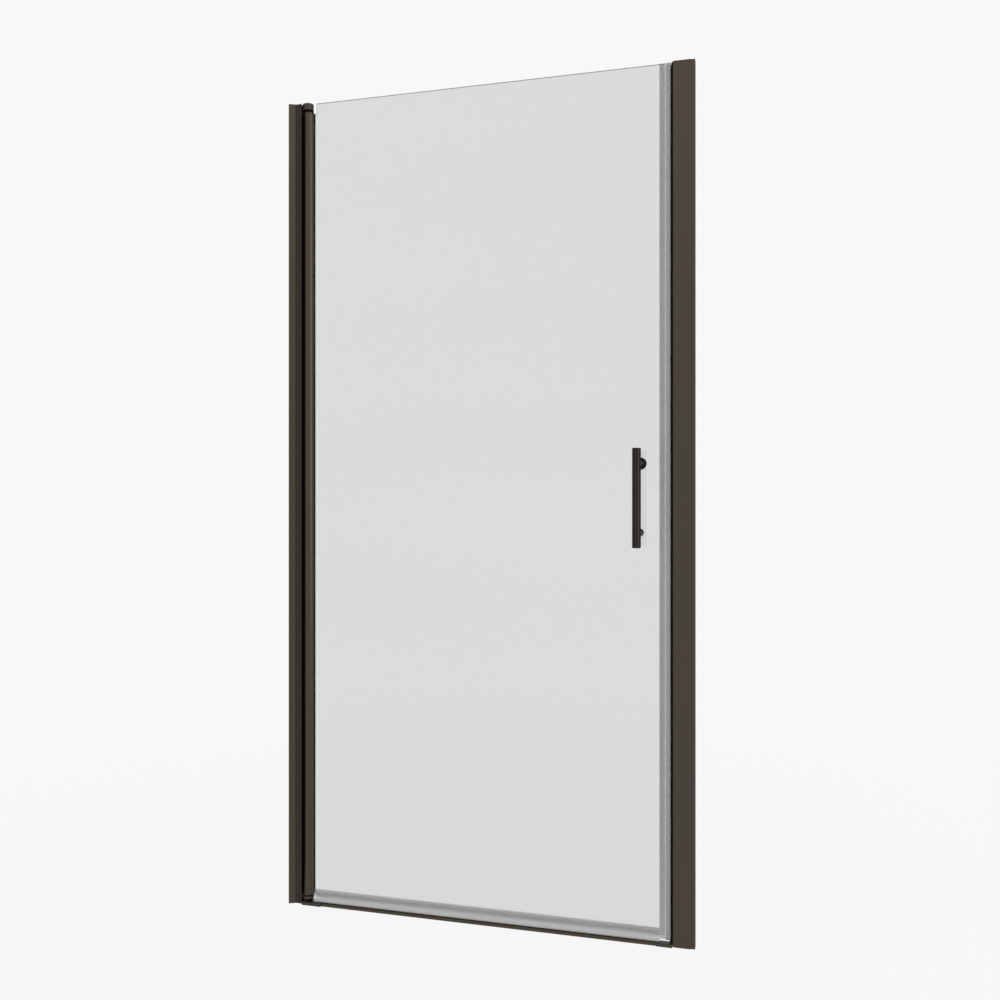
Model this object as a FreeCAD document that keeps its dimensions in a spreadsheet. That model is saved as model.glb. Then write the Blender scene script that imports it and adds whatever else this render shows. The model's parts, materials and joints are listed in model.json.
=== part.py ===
import FreeCAD, Part
import math
import os
import types

import Sketcher

# Semi-frameless pivot shower door, 36 by 72 inches, hinged on the left as seen from the bathroom.
# Millimetres. X runs along the door to the strike wall, Y into the shower, Z up.
# The origin is on the underside of the sill, midway between the walls, in the middle plane of the glass.

SIZES = {
    # opening and glass
    "opening_width": 914.4,
    "frame_height": 1828.8,
    "glass_thickness": 6.0,
    "slide_gap": 0.2,
    "screw_gap": 0.05,
    # wall channel on the hinge side, flared towards the wall
    "hinge_channel_front": 16.8,
    "hinge_channel_reach": 14.2,
    "hinge_channel_base": 2.0,
    "hinge_channel_wall": 1.5,
    "hinge_channel_edge": 0.8,
    # hinge jamb, hollow behind a cove for the round stile
    "hinge_jamb_half": 9.7,
    "hinge_jamb_inset": 4.0,
    "hinge_jamb_wall": 1.6,
    "jamb_lip_width": 5.3,
    "jamb_lip_rise": 0.9,
    "cove_gap": 5.0,
    "seal_groove_half": 2.5,
    "seal_groove_depth": 0.8,
    "seal_foot_rise": 0.6,
    "seal_fin_half": 0.6,
    "seal_fin_gap": 0.35,
    # pivot line and stile
    "pivot_from_wall": 42.5,
    "stile_radius": 12.0,
    "stile_bore_radius": 7.0,
    "stile_web": 1.8,
    "stile_lip_reach": 14.7,
    "stile_lip_wall": 2.0,
    "gasket_wall": 1.1,
    # pivot hardware
    "pin_radius": 4.0,
    "pin_grip_gap": 0.02,
    "pin_running_gap": 0.05,
    "pin_in_bushing": 22.0,
    "bushing_length": 25.0,
    "lower_flange_radius": 9.5,
    "lower_flange": 1.9,
    "upper_flange_radius": 11.3,
    "upper_flange": 6.0,
    "bushing_fit_gap": 0.05,
    "washer_radius": 8.5,
    "washer_thickness": 1.1,
    "thrust_gap": 0.1,
    "collar_radius": 12.0,
    "collar_height": 5.9,
    "nut_across_flats": 13.0,
    "nut_height": 5.8,
    "set_screw_radius": 1.5,
    "set_screw_recess": 0.6,
    "block_radius": 12.4,
    "block_height": 14.1,
    "block_setback": 1.5,
    "block_pin_depth": 11.0,
    "block_gap": 6.9,
    "tang_half": 4.0,
    "tang_inset": 9.0,
    "tang_screw_from_wall": 18.0,
    "foot_radius": 12.8,
    "foot_front": 16.5,
    "foot_corner": 6.0,
    "foot_reach": 36.1,
    # strike side
    "strike_jamb_half": 10.5,
    "strike_jamb_wall": 1.6,
    "strike_jamb_gap": 8.1,
    "strike_face_width": 36.8,
    "strike_slant": 4.5,
    "strike_corner_round": 1.0,
    "stop_face": 7.0,
    "stop_length": 4.0,
    "strike_channel_base": 2.0,
    "strike_channel_wall": 1.6,
    "strike_channel_leg": 34.0,
    "magnet_half": 4.0,
    "magnet_pocket_step": 1.0,
    "magnet_depth": 5.1,
    "magnet_bevel": 1.5,
    "magnet_gap": 0.8,
    # sill
    "sill_front": 13.0,
    "sill_back": 3.0,
    "sill_height": 6.5,
    "sill_fall": 0.9,
    "sill_round": 1.2,
    "sill_groove_front": 9.0,
    "sill_groove_back": 4.0,
    "sill_groove_depth": 1.2,
    "tongue_length": 20.0,
    "tongue_gap": 0.05,
    "end_block_front": 15.4,
    "end_block_back": 3.5,
    "end_block_length": 33.6,
    "end_block_fall": 0.6,
    "end_block_gap": 1.0,
    # glass leaf
    "seal_drop": 13.5,
    "glass_tab_inset": 2.0,
    "glass_notch_reach": 19.5,
    "glass_seam": 0.5,
    # bottom seal
    "seal_leg_wall": 1.2,
    "seal_leg_height": 15.0,
    "seal_back_leg_height": 11.0,
    "seal_web": 1.6,
    "bulb_setback": 1.8,
    "bulb_half": 3.6,
    "toe_reach": 8.2,
    "toe_round": 1.0,
    "bulb_wall": 0.9,
    "sweep_gap": 0.4,
    "seal_start_gap": 0.2,
    "seal_end_gap": 0.5,
    "drip_reach": 6.0,
    "drip_drop": 6.5,
    "drip_thickness": 1.2,
    # strike seal
    "strike_seal_grip": 11.0,
    "strike_seal_leg": 1.2,
    "strike_seal_reach": 12.6,
    "strike_seal_half": 4.8,
    "strike_seal_bevel": 1.5,
    "strike_seal_wall": 1.1,
    "strike_seal_lift": 4.6,
    "strike_fin_height": 1.8,
    "strike_fin_width": 2.4,
    "door_magnet_width": 9.2,
    # handle outside, knob and cap inside
    "handle_setback": 52.6,
    "handle_height": 927.0,
    "handle_spacing": 145.0,
    "bar_radius": 8.9,
    "bar_length": 205.0,
    "bar_bevel": 1.0,
    "bar_standoff": 45.0,
    "post_radius": 7.0,
    "stud_radius": 3.0,
    "stud_in_bar": 6.9,
    "stud_in_knob": 8.0,
    "glass_hole_radius": 6.0,
    "sleeve_radius": 5.9,
    "sleeve_gap": 0.2,
    "handle_washer_radius": 8.4,
    "handle_washer": 1.0,
    "knob_radius": 13.0,
    "knob_length": 22.0,
    "knob_neck_radius": 8.0,
    "knob_neck": 5.0,
    "knob_flare": 7.0,
    "knob_bevel": 3.0,
    "cap_radius": 8.4,
    "cap_length": 10.5,
    "cap_bevel": 2.0,
    # wall holes and lock screws
    "wall_hole_radius": 2.5,
    "wall_hole_inset": 150.0,
    "lock_inset": 230.0,
    "screw_radius": 1.6,
    "screw_head_radius": 3.1,
    "screw_head": 2.2,
    "hinge_lock_from_wall": 7.6,
    "strike_lock_from_wall": 25.0,
    "lock_screw_length": 6.0,
    "tang_screw_length": 9.0,
}

LOCK_COUNT = 3
WALL_HOLE_COUNT = 3
HANDLE_POSTS = 2
TANG_SCREWS = 2

# How close two directions or places have to be to count as the same.
SAME_DIRECTION = 1e-6
SAME_PLACE = 1e-4


class Size:
    """A length that carries its number and the sheet expression it comes from."""

    def __init__(self, number, text):
        self.number = number
        self.text = text

    def __add__(self, other):
        other = as_size(other)
        return Size(self.number + other.number, f"({self.text} + {other.text})")

    def __sub__(self, other):
        other = as_size(other)
        return Size(self.number - other.number, f"({self.text} - {other.text})")

    def __mul__(self, other):
        other = as_size(other)
        return Size(self.number * other.number, f"({self.text} * {other.text})")

    def __truediv__(self, other):
        other = as_size(other)
        return Size(self.number / other.number, f"({self.text} / {other.text})")

    def __neg__(self):
        return Size(-self.number, f"(0 - {self.text})")


def as_size(value):
    if isinstance(value, Size):
        return value
    return Size(float(value), repr(float(value)))


def root(size):
    return Size(math.sqrt(size.number), f"sqrt({size.text})")


def leg(hypotenuse, side):
    """The other side of a right triangle."""
    return root(hypotenuse * hypotenuse - side * side)


doc = FreeCAD.newDocument("shower_door")
sheet = doc.addObject("Spreadsheet::Sheet", "Sizes")
for row, (name, number) in enumerate(SIZES.items(), start=1):
    sheet.set(f"A{row}", name)
    sheet.set(f"B{row}", str(number))
    sheet.setAlias(f"B{row}", name)
doc.recompute()
s = types.SimpleNamespace(**{name: Size(number, f"Sizes.{name}") for name, number in SIZES.items()})

# Places that more than one piece shares.
hinge_wall = -(s.opening_width / 2)
strike_wall = s.opening_width / 2
pivot_x = hinge_wall + s.pivot_from_wall
glass_half = s.glass_thickness / 2
cove_radius = s.stile_radius + s.cove_gap
pocket_half = glass_half + s.gasket_wall
pocket_floor = s.stile_bore_radius + s.stile_web
pin_hole = s.pin_radius + s.pin_grip_gap
screw_hole = s.screw_radius + s.screw_gap
stud_hole = s.stud_radius + s.screw_gap
lock_pitch = s.frame_height - s.lock_inset * 2
wall_hole_pitch = s.frame_height - s.wall_hole_inset * 2

# Heights of the lower pivot, stacked up from the sill's top.
nut_top = s.sill_height + s.nut_height
collar_top = nut_top + s.collar_height
washer_top = collar_top + s.washer_thickness
flange_bottom = washer_top + s.thrust_gap
stile_bottom = flange_bottom + s.lower_flange

# Heights of the upper pivot, down from the frame's top.
block_bottom = s.frame_height - s.block_height
stile_top = block_bottom - s.block_gap
stile_length = stile_top - stile_bottom

# Lengths along the door, from the strike wall inwards and then from the pivot line.
strike_corner = s.strike_jamb_gap + s.strike_face_width
magnet_seat = strike_corner - s.magnet_pocket_step
magnet_face = magnet_seat + s.magnet_depth
glass_edge = s.opening_width - magnet_face - s.magnet_gap - s.strike_seal_reach - s.pivot_from_wall
end_block_right = s.opening_width - strike_corner - s.end_block_gap
sill_right = end_block_right - s.end_block_length
sill_left = s.pivot_from_wall + s.foot_reach
glass_bottom = s.sill_height + s.seal_drop
handle_x = pivot_x + glass_edge - s.handle_setback

sub_parts = []


def new_body(label, x=0, y=0, z=0):
    """A named sub-part whose own origin stands at x, y, z."""
    body = doc.addObject("PartDesign::Body", label)
    body.Label = label
    for axis, value in (("x", x), ("y", y), ("z", z)):
        body.setExpression(f"Placement.Base.{axis}", as_size(value).text)
    sub_parts.append(body)
    return body


def origin_feature(body, role):
    return next(item for item in body.Origin.OriginFeatures if item.Role == role)


def curve_between(start, end, radius):
    """An arc under a half circle: a positive radius turns left on the way, a negative one right."""
    chord = end - start
    half = chord.Length / 2
    to_centre = FreeCAD.Vector(-chord.y, chord.x, 0).normalize()
    sagitta_arm = math.sqrt(max(radius * radius - half * half, 0))
    centre = (start + end) / 2 + to_centre * math.copysign(sagitta_arm, radius)
    circle = Part.Circle(centre, FreeCAD.Vector(0, 0, 1), abs(radius))
    first, last = (start, end) if radius > 0 else (end, start)
    first_angle = math.atan2(first.y - centre.y, first.x - centre.x)
    last_angle = math.atan2(last.y - centre.y, last.x - centre.x)
    return Part.ArcOfCircle(circle, first_angle, last_angle)


def bind(sketch, constraint, size):
    index = sketch.addConstraint(constraint)
    sketch.setExpression(f"Constraints[{index}]", size.text)


def draw_outline(sketch, corners):
    """A closed outline. A corner's third value is the radius of the arc that leads to the next corner."""
    corners = [tuple(as_size(value) for value in corner) for corner in corners]
    points = [FreeCAD.Vector(corner[0].number, corner[1].number, 0) for corner in corners]
    first = sketch.GeometryCount
    count = len(corners)
    curves = []
    ends = []
    for index, corner in enumerate(corners):
        start = points[index]
        end = points[(index + 1) % count]
        if len(corner) == 2:
            curves.append(Part.LineSegment(start, end))
            ends.append((1, 2))
        else:
            curves.append(curve_between(start, end, corner[2].number))
            ends.append((1, 2) if corner[2].number > 0 else (2, 1))
    sketch.addGeometry(curves, False)
    for index, corner in enumerate(corners):
        curve = first + index
        follower = (index + 1) % count
        sketch.addConstraint(
            Sketcher.Constraint("Coincident", curve, ends[index][1], first + follower, ends[follower][0]))
        place = (-1, 1, curve, ends[index][0])
        bind(sketch, Sketcher.Constraint("DistanceX", *place, corner[0].number), corner[0])
        bind(sketch, Sketcher.Constraint("DistanceY", *place, corner[1].number), corner[1])
        if len(corner) == 3:
            radius = corner[2] if corner[2].number > 0 else -corner[2]
            bind(sketch, Sketcher.Constraint("Radius", curve, radius.number), radius)


def draw_circle(sketch, x, y, radius):
    x, y, radius = as_size(x), as_size(y), as_size(radius)
    centre = FreeCAD.Vector(x.number, y.number, 0)
    index = sketch.addGeometry(Part.Circle(centre, FreeCAD.Vector(0, 0, 1), radius.number), False)
    bind(sketch, Sketcher.Constraint("DistanceX", -1, 1, index, 3, x.number), x)
    bind(sketch, Sketcher.Constraint("DistanceY", -1, 1, index, 3, y.number), y)
    bind(sketch, Sketcher.Constraint("Radius", index, radius.number), radius)


def new_sketch(body, plane, level=0, outlines=(), circles=()):
    """A sketch parallel to one of the body's planes, level above it along the plane's normal."""
    sketch = body.newObject("Sketcher::SketchObject", f"{body.Label}_sketch")
    sketch.AttachmentSupport = [(origin_feature(body, plane), "")]
    sketch.MapMode = "FlatFace"
    sketch.setExpression("AttachmentOffset.Base.z", as_size(level).text)
    for corners in outlines:
        draw_outline(sketch, corners)
    for circle in circles:
        draw_circle(sketch, *circle)
    return sketch


def pad(body, sketch, length):
    feature = body.newObject("PartDesign::Pad", f"{body.Label}_pad")
    feature.Profile = sketch
    feature.setExpression("Length", as_size(length).text)
    body.Tip = feature
    return feature


def cut(body, sketch, length):
    """Cut from the sketch along its plane's normal, and make sure that something was removed."""
    doc.recompute()
    before = body.Shape.Volume
    feature = body.newObject("PartDesign::Pocket", f"{body.Label}_cut")
    feature.Profile = sketch
    feature.Reversed = True
    feature.setExpression("Length", as_size(length).text)
    body.Tip = feature
    doc.recompute()
    if not body.Shape.Volume < before:
        raise RuntimeError(f"a cut in {body.Label} removes nothing")
    return feature


def revolve(body, sketch):
    """Turn a sketch once round its own vertical axis."""
    feature = body.newObject("PartDesign::Revolution", f"{body.Label}_turned")
    feature.Profile = sketch
    feature.ReferenceAxis = (sketch, ["V_Axis"])
    feature.Angle = 360
    body.Tip = feature
    return feature


def repeat_up(body, feature, length, count):
    """Repeat a feature upwards, with the first and last copy a length apart."""
    pattern = body.newObject("PartDesign::LinearPattern", f"{body.Label}_row")
    pattern.Originals = [feature]
    pattern.Direction = (origin_feature(body, "Z_Axis"), [""])
    pattern.setExpression("Length", as_size(length).text)
    pattern.Occurrences = count
    body.Tip = pattern
    return pattern


def edges_at(shape, direction, *places):
    """Names of the edges along a direction that pass through one of the given places, seen along it."""
    along = FreeCAD.Vector(*direction)
    names = []
    for index, edge in enumerate(shape.Edges, start=1):
        span = edge.Vertexes[-1].Point - edge.Vertexes[0].Point
        if span.Length < SAME_PLACE or span.cross(along).Length > SAME_DIRECTION * span.Length:
            continue
        for place in places:
            offset = edge.Vertexes[0].Point - FreeCAD.Vector(*place)
            if (offset - along * offset.dot(along)).Length < SAME_PLACE:
                names.append(f"Edge{index}")
    return names


def round_edges(body, radius, direction, *places):
    doc.recompute()
    base = body.Tip
    names = edges_at(base.Shape, direction, *places)
    if not names:
        raise RuntimeError(f"no edge to round in {body.Label}")
    feature = body.newObject("PartDesign::Fillet", f"{body.Label}_round")
    feature.Base = (base, names)
    feature.setExpression("Radius", as_size(radius).text)
    body.Tip = feature
    return feature


UP = (0, 0, 1)
ALONG = (1, 0, 0)
INWARD = (0, 1, 0)


def hinge_wall_channel():
    """Flared channel that is screwed to the hinge wall. The hinge jamb slides into it."""
    body = new_body("hinge_wall_channel", hinge_wall)
    base = s.hinge_channel_base
    reach = s.hinge_channel_reach
    front = s.hinge_channel_front
    inner = s.hinge_jamb_half + s.slide_gap
    tip = inner + s.hinge_channel_edge
    back = inner + s.hinge_channel_wall
    slope = (front - tip) / reach
    profile = [(0, -front), (reach, -tip), (reach, -inner), (base, -inner),
               (base, inner), (reach, inner), (reach, back), (0, back)]
    hollow_front = front - slope * base - s.hinge_channel_wall
    hollow_tip = (front - s.hinge_channel_wall - back) / slope
    hollow = [(base, -hollow_front), (hollow_tip, -back), (base, -back)]
    pad(body, new_sketch(body, "XY_Plane", 0, [profile, hollow]), s.frame_height)
    wall_hole = new_sketch(body, "YZ_Plane", 0, circles=[(0, s.wall_hole_inset, s.wall_hole_radius)])
    repeat_up(body, cut(body, wall_hole, base), wall_hole_pitch, WALL_HOLE_COUNT)
    lock_hole = new_sketch(body, "XZ_Plane", -back,
                           circles=[(s.hinge_lock_from_wall, s.lock_inset, screw_hole)])
    repeat_up(body, cut(body, lock_hole, s.hinge_channel_wall), lock_pitch, LOCK_COUNT)


def hinge_jamb():
    """Hollow jamb, open to the wall, with a cove and a seal groove towards the stile."""
    body = new_body("hinge_jamb", hinge_wall)
    half = s.hinge_jamb_half
    wall = s.hinge_jamb_wall
    proud = half + s.jamb_lip_rise
    inner = half - wall
    inner_cove = cove_radius + wall
    groove = s.seal_groove_half
    lip_end = s.pivot_from_wall - leg(cove_radius, proud)
    lip_start = lip_end - s.jamb_lip_width
    groove_mouth = s.pivot_from_wall - leg(cove_radius, groove)
    groove_floor = s.pivot_from_wall - cove_radius - s.seal_groove_depth
    hollow_end = s.pivot_from_wall - leg(inner_cove, inner)
    profile = [(s.hinge_jamb_inset, -half), (lip_start, -half), (lip_start + s.jamb_lip_rise, -proud),
               (lip_end, -proud, -cove_radius), (groove_mouth, -groove), (groove_floor, -groove),
               (groove_floor, groove), (groove_mouth, groove, -cove_radius), (lip_end, proud),
               (lip_start + s.jamb_lip_rise, proud), (lip_start, half), (s.hinge_jamb_inset, half),
               (s.hinge_jamb_inset, inner), (hollow_end, inner, inner_cove), (hollow_end, -inner),
               (s.hinge_jamb_inset, -inner)]
    pad(body, new_sketch(body, "XY_Plane", 0, [profile]), s.frame_height)

    # Slots at both ends let the tangs of the pivot block and the pivot foot into the hollow.
    slot_half = s.tang_half + s.slide_gap
    slot_start = s.pivot_from_wall - inner_cove - s.slide_gap
    slot_floor = block_bottom - s.slide_gap
    slot_top = s.sill_height + s.slide_gap
    for low, high in ((slot_floor, s.frame_height), (as_size(0), slot_top)):
        slot = [(-slot_half, low), (slot_half, low), (slot_half, high), (-slot_half, high)]
        cut(body, new_sketch(body, "YZ_Plane", slot_start, [slot]), lip_end - slot_start)

    lock_hole = new_sketch(body, "XZ_Plane", -half,
                           circles=[(s.hinge_lock_from_wall, s.lock_inset, screw_hole)])
    repeat_up(body, cut(body, lock_hole, wall), lock_pitch, LOCK_COUNT)
    tang_holes = [(s.tang_screw_from_wall, height, screw_hole) for height in tang_screw_heights()]
    cut(body, new_sketch(body, "XZ_Plane", -half, circles=tang_holes), wall)


def tang_screw_heights():
    return s.sill_height / 2, block_bottom + s.block_height / 2


def hinge_jamb_seal():
    """Soft strip in the cove's groove, with a fin that wipes the stile."""
    body = new_body("hinge_jamb_seal", pivot_x, 0, stile_bottom)
    foot = s.seal_groove_half - s.screw_gap
    floor = cove_radius + s.seal_groove_depth
    shoulder = cove_radius - s.seal_foot_rise
    fin_tip = s.stile_radius + s.seal_fin_gap
    fin = s.seal_fin_half
    profile = [(-floor, -foot), (-shoulder, -foot), (-fin_tip, -fin),
               (-fin_tip, fin), (-shoulder, foot), (-floor, foot)]
    pad(body, new_sketch(body, "XY_Plane", 0, [profile]), stile_length)


def strike_wall_channel():
    """Plain channel that is screwed to the strike wall. The strike jamb slides over it."""
    body = new_body("strike_wall_channel", strike_wall)
    half = s.strike_jamb_half - s.strike_jamb_wall - s.slide_gap
    inner = half - s.strike_channel_wall
    base = s.strike_channel_base
    end = s.strike_channel_leg
    profile = [(0, -half), (0, half), (-end, half), (-end, inner),
               (-base, inner), (-base, -inner), (-end, -inner), (-end, -half)]
    pad(body, new_sketch(body, "XY_Plane", 0, [profile]), s.frame_height)
    wall_hole = new_sketch(body, "YZ_Plane", -base, circles=[(0, s.wall_hole_inset, s.wall_hole_radius)])
    repeat_up(body, cut(body, wall_hole, base), wall_hole_pitch, WALL_HOLE_COUNT)
    lock_hole = new_sketch(body, "XZ_Plane", -half,
                           circles=[(-s.strike_lock_from_wall, s.lock_inset, screw_hole)])
    repeat_up(body, cut(body, lock_hole, s.strike_channel_wall), lock_pitch, LOCK_COUNT)


def strike_side_x(depth):
    """Where the strike jamb's slanted side lies at a depth, measured from the strike wall."""
    half = s.strike_jamb_half
    return strike_corner + s.strike_slant * (depth + half) / (s.stop_face + half)


def strike_jamb():
    """Jamb with a flat front face, a slanted side with a magnet pocket, and a stop leg at the back."""
    body = new_body("strike_jamb", strike_wall)
    half = s.strike_jamb_half
    inner = half - s.strike_jamb_wall
    pocket = s.magnet_half + s.screw_gap
    stop_side = strike_side_x(s.stop_face)
    stop_end = stop_side + s.stop_length
    hollow_end = magnet_seat - s.strike_jamb_wall
    profile = [(-s.strike_jamb_gap, -half), (-strike_corner, -half),
               (-strike_side_x(-pocket), -pocket), (-magnet_seat, -pocket),
               (-magnet_seat, pocket), (-strike_side_x(pocket), pocket),
               (-stop_side, s.stop_face), (-stop_end, s.stop_face), (-stop_end, half),
               (-s.strike_jamb_gap, half), (-s.strike_jamb_gap, inner), (-hollow_end, inner),
               (-hollow_end, -inner), (-s.strike_jamb_gap, -inner)]
    pad(body, new_sketch(body, "XY_Plane", 0, [profile]), s.frame_height)
    front_corner = (-strike_corner.number, -half.number, 0)
    stop_corner = (-stop_end.number, half.number, 0)
    round_edges(body, s.strike_corner_round, UP, front_corner, stop_corner)
    lock_hole = new_sketch(body, "XZ_Plane", -half,
                           circles=[(-s.strike_lock_from_wall, s.lock_inset, screw_hole)])
    repeat_up(body, cut(body, lock_hole, s.strike_jamb_wall), lock_pitch, LOCK_COUNT)


def strike_magnet_strip():
    """Magnetic strip pressed into the strike jamb's pocket."""
    body = new_body("strike_magnet_strip", strike_wall, 0, strike_seal_bottom())
    half = s.magnet_half
    bevel = s.magnet_bevel
    profile = [(-magnet_seat, -half), (-magnet_seat, half), (bevel - magnet_face, half),
               (-magnet_face, half - bevel), (-magnet_face, bevel - half), (bevel - magnet_face, -half)]
    pad(body, new_sketch(body, "XY_Plane", 0, [profile]), s.frame_height - strike_seal_bottom())


def strike_seal_bottom():
    return s.sill_height + s.strike_seal_lift


def sill_rail():
    """Low threshold bar between the pivot foot and the end block, with a bedding groove underneath."""
    body = new_body("sill_rail", hinge_wall)
    profile = [(-s.sill_front, 0), (-s.sill_front, s.sill_height),
               (s.sill_back, s.sill_height - s.sill_fall), (s.sill_back, 0),
               (-s.sill_groove_back, 0), (-s.sill_groove_back, s.sill_groove_depth),
               (-s.sill_groove_front, s.sill_groove_depth), (-s.sill_groove_front, 0)]
    pad(body, new_sketch(body, "YZ_Plane", sill_left, [profile]), sill_right - sill_left)
    round_edges(body, s.sill_round, ALONG, (0, -s.sill_front.number, s.sill_height.number))


def tongue(body, start):
    """Tongue that reaches under the end of the sill, into its bedding groove."""
    front = s.sill_groove_front - s.tongue_gap
    back = s.sill_groove_back + s.tongue_gap
    top = s.sill_groove_depth - s.tongue_gap
    section = [(-front, 0), (-back, 0), (-back, top), (-front, top)]
    pad(body, new_sketch(body, "YZ_Plane", start, [section]), s.tongue_length)


def lower_pivot_foot():
    """Foot under the pivot line: a round boss, an arm that meets the sill and a tang into the jamb."""
    body = new_body("lower_pivot_foot", pivot_x)
    radius = s.foot_radius
    front = s.foot_front
    corner = s.foot_corner
    back = s.end_block_back
    plan = [(s.foot_reach, -front), (s.foot_reach, back), (leg(radius, back), back, radius), (-radius, 0),
            (-radius, corner - front, corner), (corner - radius, -front)]
    pad(body, new_sketch(body, "XY_Plane", 0, [plan]), s.sill_height)
    tang_end = s.pivot_from_wall - s.tang_inset
    half = s.tang_half
    tang = [(-tang_end, -half), (0, -half), (0, half), (-tang_end, half)]
    pad(body, new_sketch(body, "XY_Plane", 0, [tang]), s.sill_height)
    tongue(body, s.foot_reach)
    cut(body, new_sketch(body, "XY_Plane", 0, circles=[(0, 0, pin_hole)]), s.sill_height)
    drill_tang(body, s.sill_height / 2)
    round_edges(body, s.sill_round, ALONG, (0, -front.number, s.sill_height.number))


def drill_tang(body, height):
    """Screw hole into the back of a tang."""
    x = s.tang_screw_from_wall - s.pivot_from_wall
    hole = new_sketch(body, "XZ_Plane", -s.tang_half, circles=[(x, height, screw_hole)])
    cut(body, hole, s.tang_half)


def sill_end_block():
    """Block that closes the sill against the strike jamb."""
    body = new_body("sill_end_block", hinge_wall)
    front = s.end_block_front
    back = s.end_block_back
    top = s.sill_height
    section = [(-front, 0), (-front, top), (back, top - s.end_block_fall), (back, 0)]
    pad(body, new_sketch(body, "YZ_Plane", sill_right, [section]), s.end_block_length)
    tongue(body, sill_right - s.tongue_length)

    # The end facing the jamb follows the jamb's slanted side.
    side = s.opening_width - strike_side_x(back) - s.slide_gap
    corner_depth = s.strike_jamb_half
    wedge = [(end_block_right, -corner_depth), (end_block_right + s.slide_gap, -corner_depth),
             (end_block_right + s.slide_gap, back + s.slide_gap), (side, back + s.slide_gap), (side, back)]
    cut(body, new_sketch(body, "XY_Plane", 0, [wedge]), top)
    round_edges(body, s.sill_round, ALONG, (0, -front.number, top.number))


def upper_pivot_block():
    """Round block over the stile, held by a tang in the top of the hinge jamb."""
    body = new_body("upper_pivot_block", pivot_x, 0, block_bottom)
    height = s.block_height
    disc = new_sketch(body, "XY_Plane", 0, circles=[(-s.block_setback, 0, s.block_radius)])
    pad(body, disc, height)
    tang_end = s.pivot_from_wall - s.tang_inset
    half = s.tang_half
    tang = [(-tang_end, -half), (0, -half), (0, half), (-tang_end, half)]
    pad(body, new_sketch(body, "XY_Plane", 0, [tang]), height)
    cut(body, new_sketch(body, "XY_Plane", 0, circles=[(0, 0, pin_hole)]), s.block_pin_depth)
    drill_tang(body, height / 2)


def pivot_pins():
    """Plain pins that the stile's bushings turn on."""
    upper_length = s.block_pin_depth + s.block_gap + s.pin_in_bushing
    for label, bottom, length in (
        ("upper_pivot_pin", stile_top - s.pin_in_bushing, upper_length),
        ("lower_pivot_pin", 0, stile_bottom + s.pin_in_bushing),
    ):
        body = new_body(label, pivot_x, 0, bottom)
        pad(body, new_sketch(body, "XY_Plane", 0, circles=[(0, 0, s.pin_radius)]), length)


def bushings():
    """Flanged bushings in the ends of the stile's bore. Their flanges stand outside the stile."""
    bore = s.pin_radius + s.pin_running_gap
    sleeve = s.stile_bore_radius - s.bushing_fit_gap
    for label, end, rim, flange, length in (
        ("upper_pivot_bushing", stile_top, s.upper_flange_radius, s.upper_flange, -s.bushing_length),
        ("lower_pivot_bushing", stile_bottom, s.lower_flange_radius, -s.lower_flange, s.bushing_length),
    ):
        body = new_body(label, pivot_x, 0, end)
        turned = [(bore, flange), (rim, flange), (rim, 0), (sleeve, 0), (sleeve, length), (bore, length)]
        revolve(body, new_sketch(body, "XZ_Plane", 0, [turned]))


def lower_pivot_stack():
    """Nut, height-setting collar with its set screw, and thrust washer on the lower pin."""
    nut = new_body("lower_pivot_nut", pivot_x, 0, s.sill_height)
    flat = s.nut_across_flats / 2
    corner = s.nut_across_flats / root(as_size(3))
    hexagon = [(corner, 0), (corner / 2, flat), (-(corner / 2), flat),
               (-corner, 0), (-(corner / 2), -flat), (corner / 2, -flat)]
    pad(nut, new_sketch(nut, "XY_Plane", 0, [hexagon], [(0, 0, pin_hole)]), s.nut_height)

    collar = new_body("lower_pivot_collar", pivot_x, 0, nut_top)
    outer = s.collar_radius
    disc = new_sketch(collar, "XY_Plane", 0, circles=[(0, 0, outer), (0, 0, pin_hole)])
    pad(collar, disc, s.collar_height)
    middle = s.collar_height / 2
    tapping = s.set_screw_radius + s.screw_gap
    hole = new_sketch(collar, "XZ_Plane", -outer, circles=[(0, middle, tapping)])
    cut(collar, hole, outer)

    screw = new_body("collar_set_screw", pivot_x, 0, nut_top + middle)
    screw_length = outer - s.set_screw_recess - pin_hole
    disc = new_sketch(screw, "XZ_Plane", -(pin_hole + screw_length), circles=[(0, 0, s.set_screw_radius)])
    pad(screw, disc, screw_length)

    washer = new_body("lower_thrust_washer", pivot_x, 0, collar_top)
    bore = s.pin_radius + s.pin_running_gap
    disc = new_sketch(washer, "XY_Plane", 0, circles=[(0, 0, s.washer_radius), (0, 0, bore)])
    pad(washer, disc, s.washer_thickness)


def hinge_stile():
    """Round rotating stile: a bore for the bushings and two lips that hold the edge of the glass."""
    body = new_body("hinge_stile", pivot_x, 0, stile_bottom)
    radius = s.stile_radius
    lip = pocket_half + s.stile_lip_wall
    end = s.stile_lip_reach
    root_x = leg(radius, lip)
    profile = [(end, -lip), (end, -pocket_half), (pocket_floor, -pocket_half), (pocket_floor, pocket_half),
               (end, pocket_half), (end, lip), (root_x, lip, radius), (-radius, 0, radius), (root_x, -lip)]
    bore = (0, 0, s.stile_bore_radius)
    pad(body, new_sketch(body, "XY_Plane", 0, [profile], [bore]), stile_length)


def stile_glazing_gasket():
    """Soft channel between the stile's lips and the glass."""
    body = new_body("stile_glazing_gasket", pivot_x, 0, stile_bottom + s.glass_tab_inset)
    floor = pocket_floor + s.gasket_wall
    end = s.stile_lip_reach
    profile = [(pocket_floor, -pocket_half), (end, -pocket_half), (end, -glass_half), (floor, -glass_half),
               (floor, glass_half), (end, glass_half), (end, pocket_half), (pocket_floor, pocket_half)]
    pad(body, new_sketch(body, "XY_Plane", 0, [profile]), stile_length - s.glass_tab_inset * 2)


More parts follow.
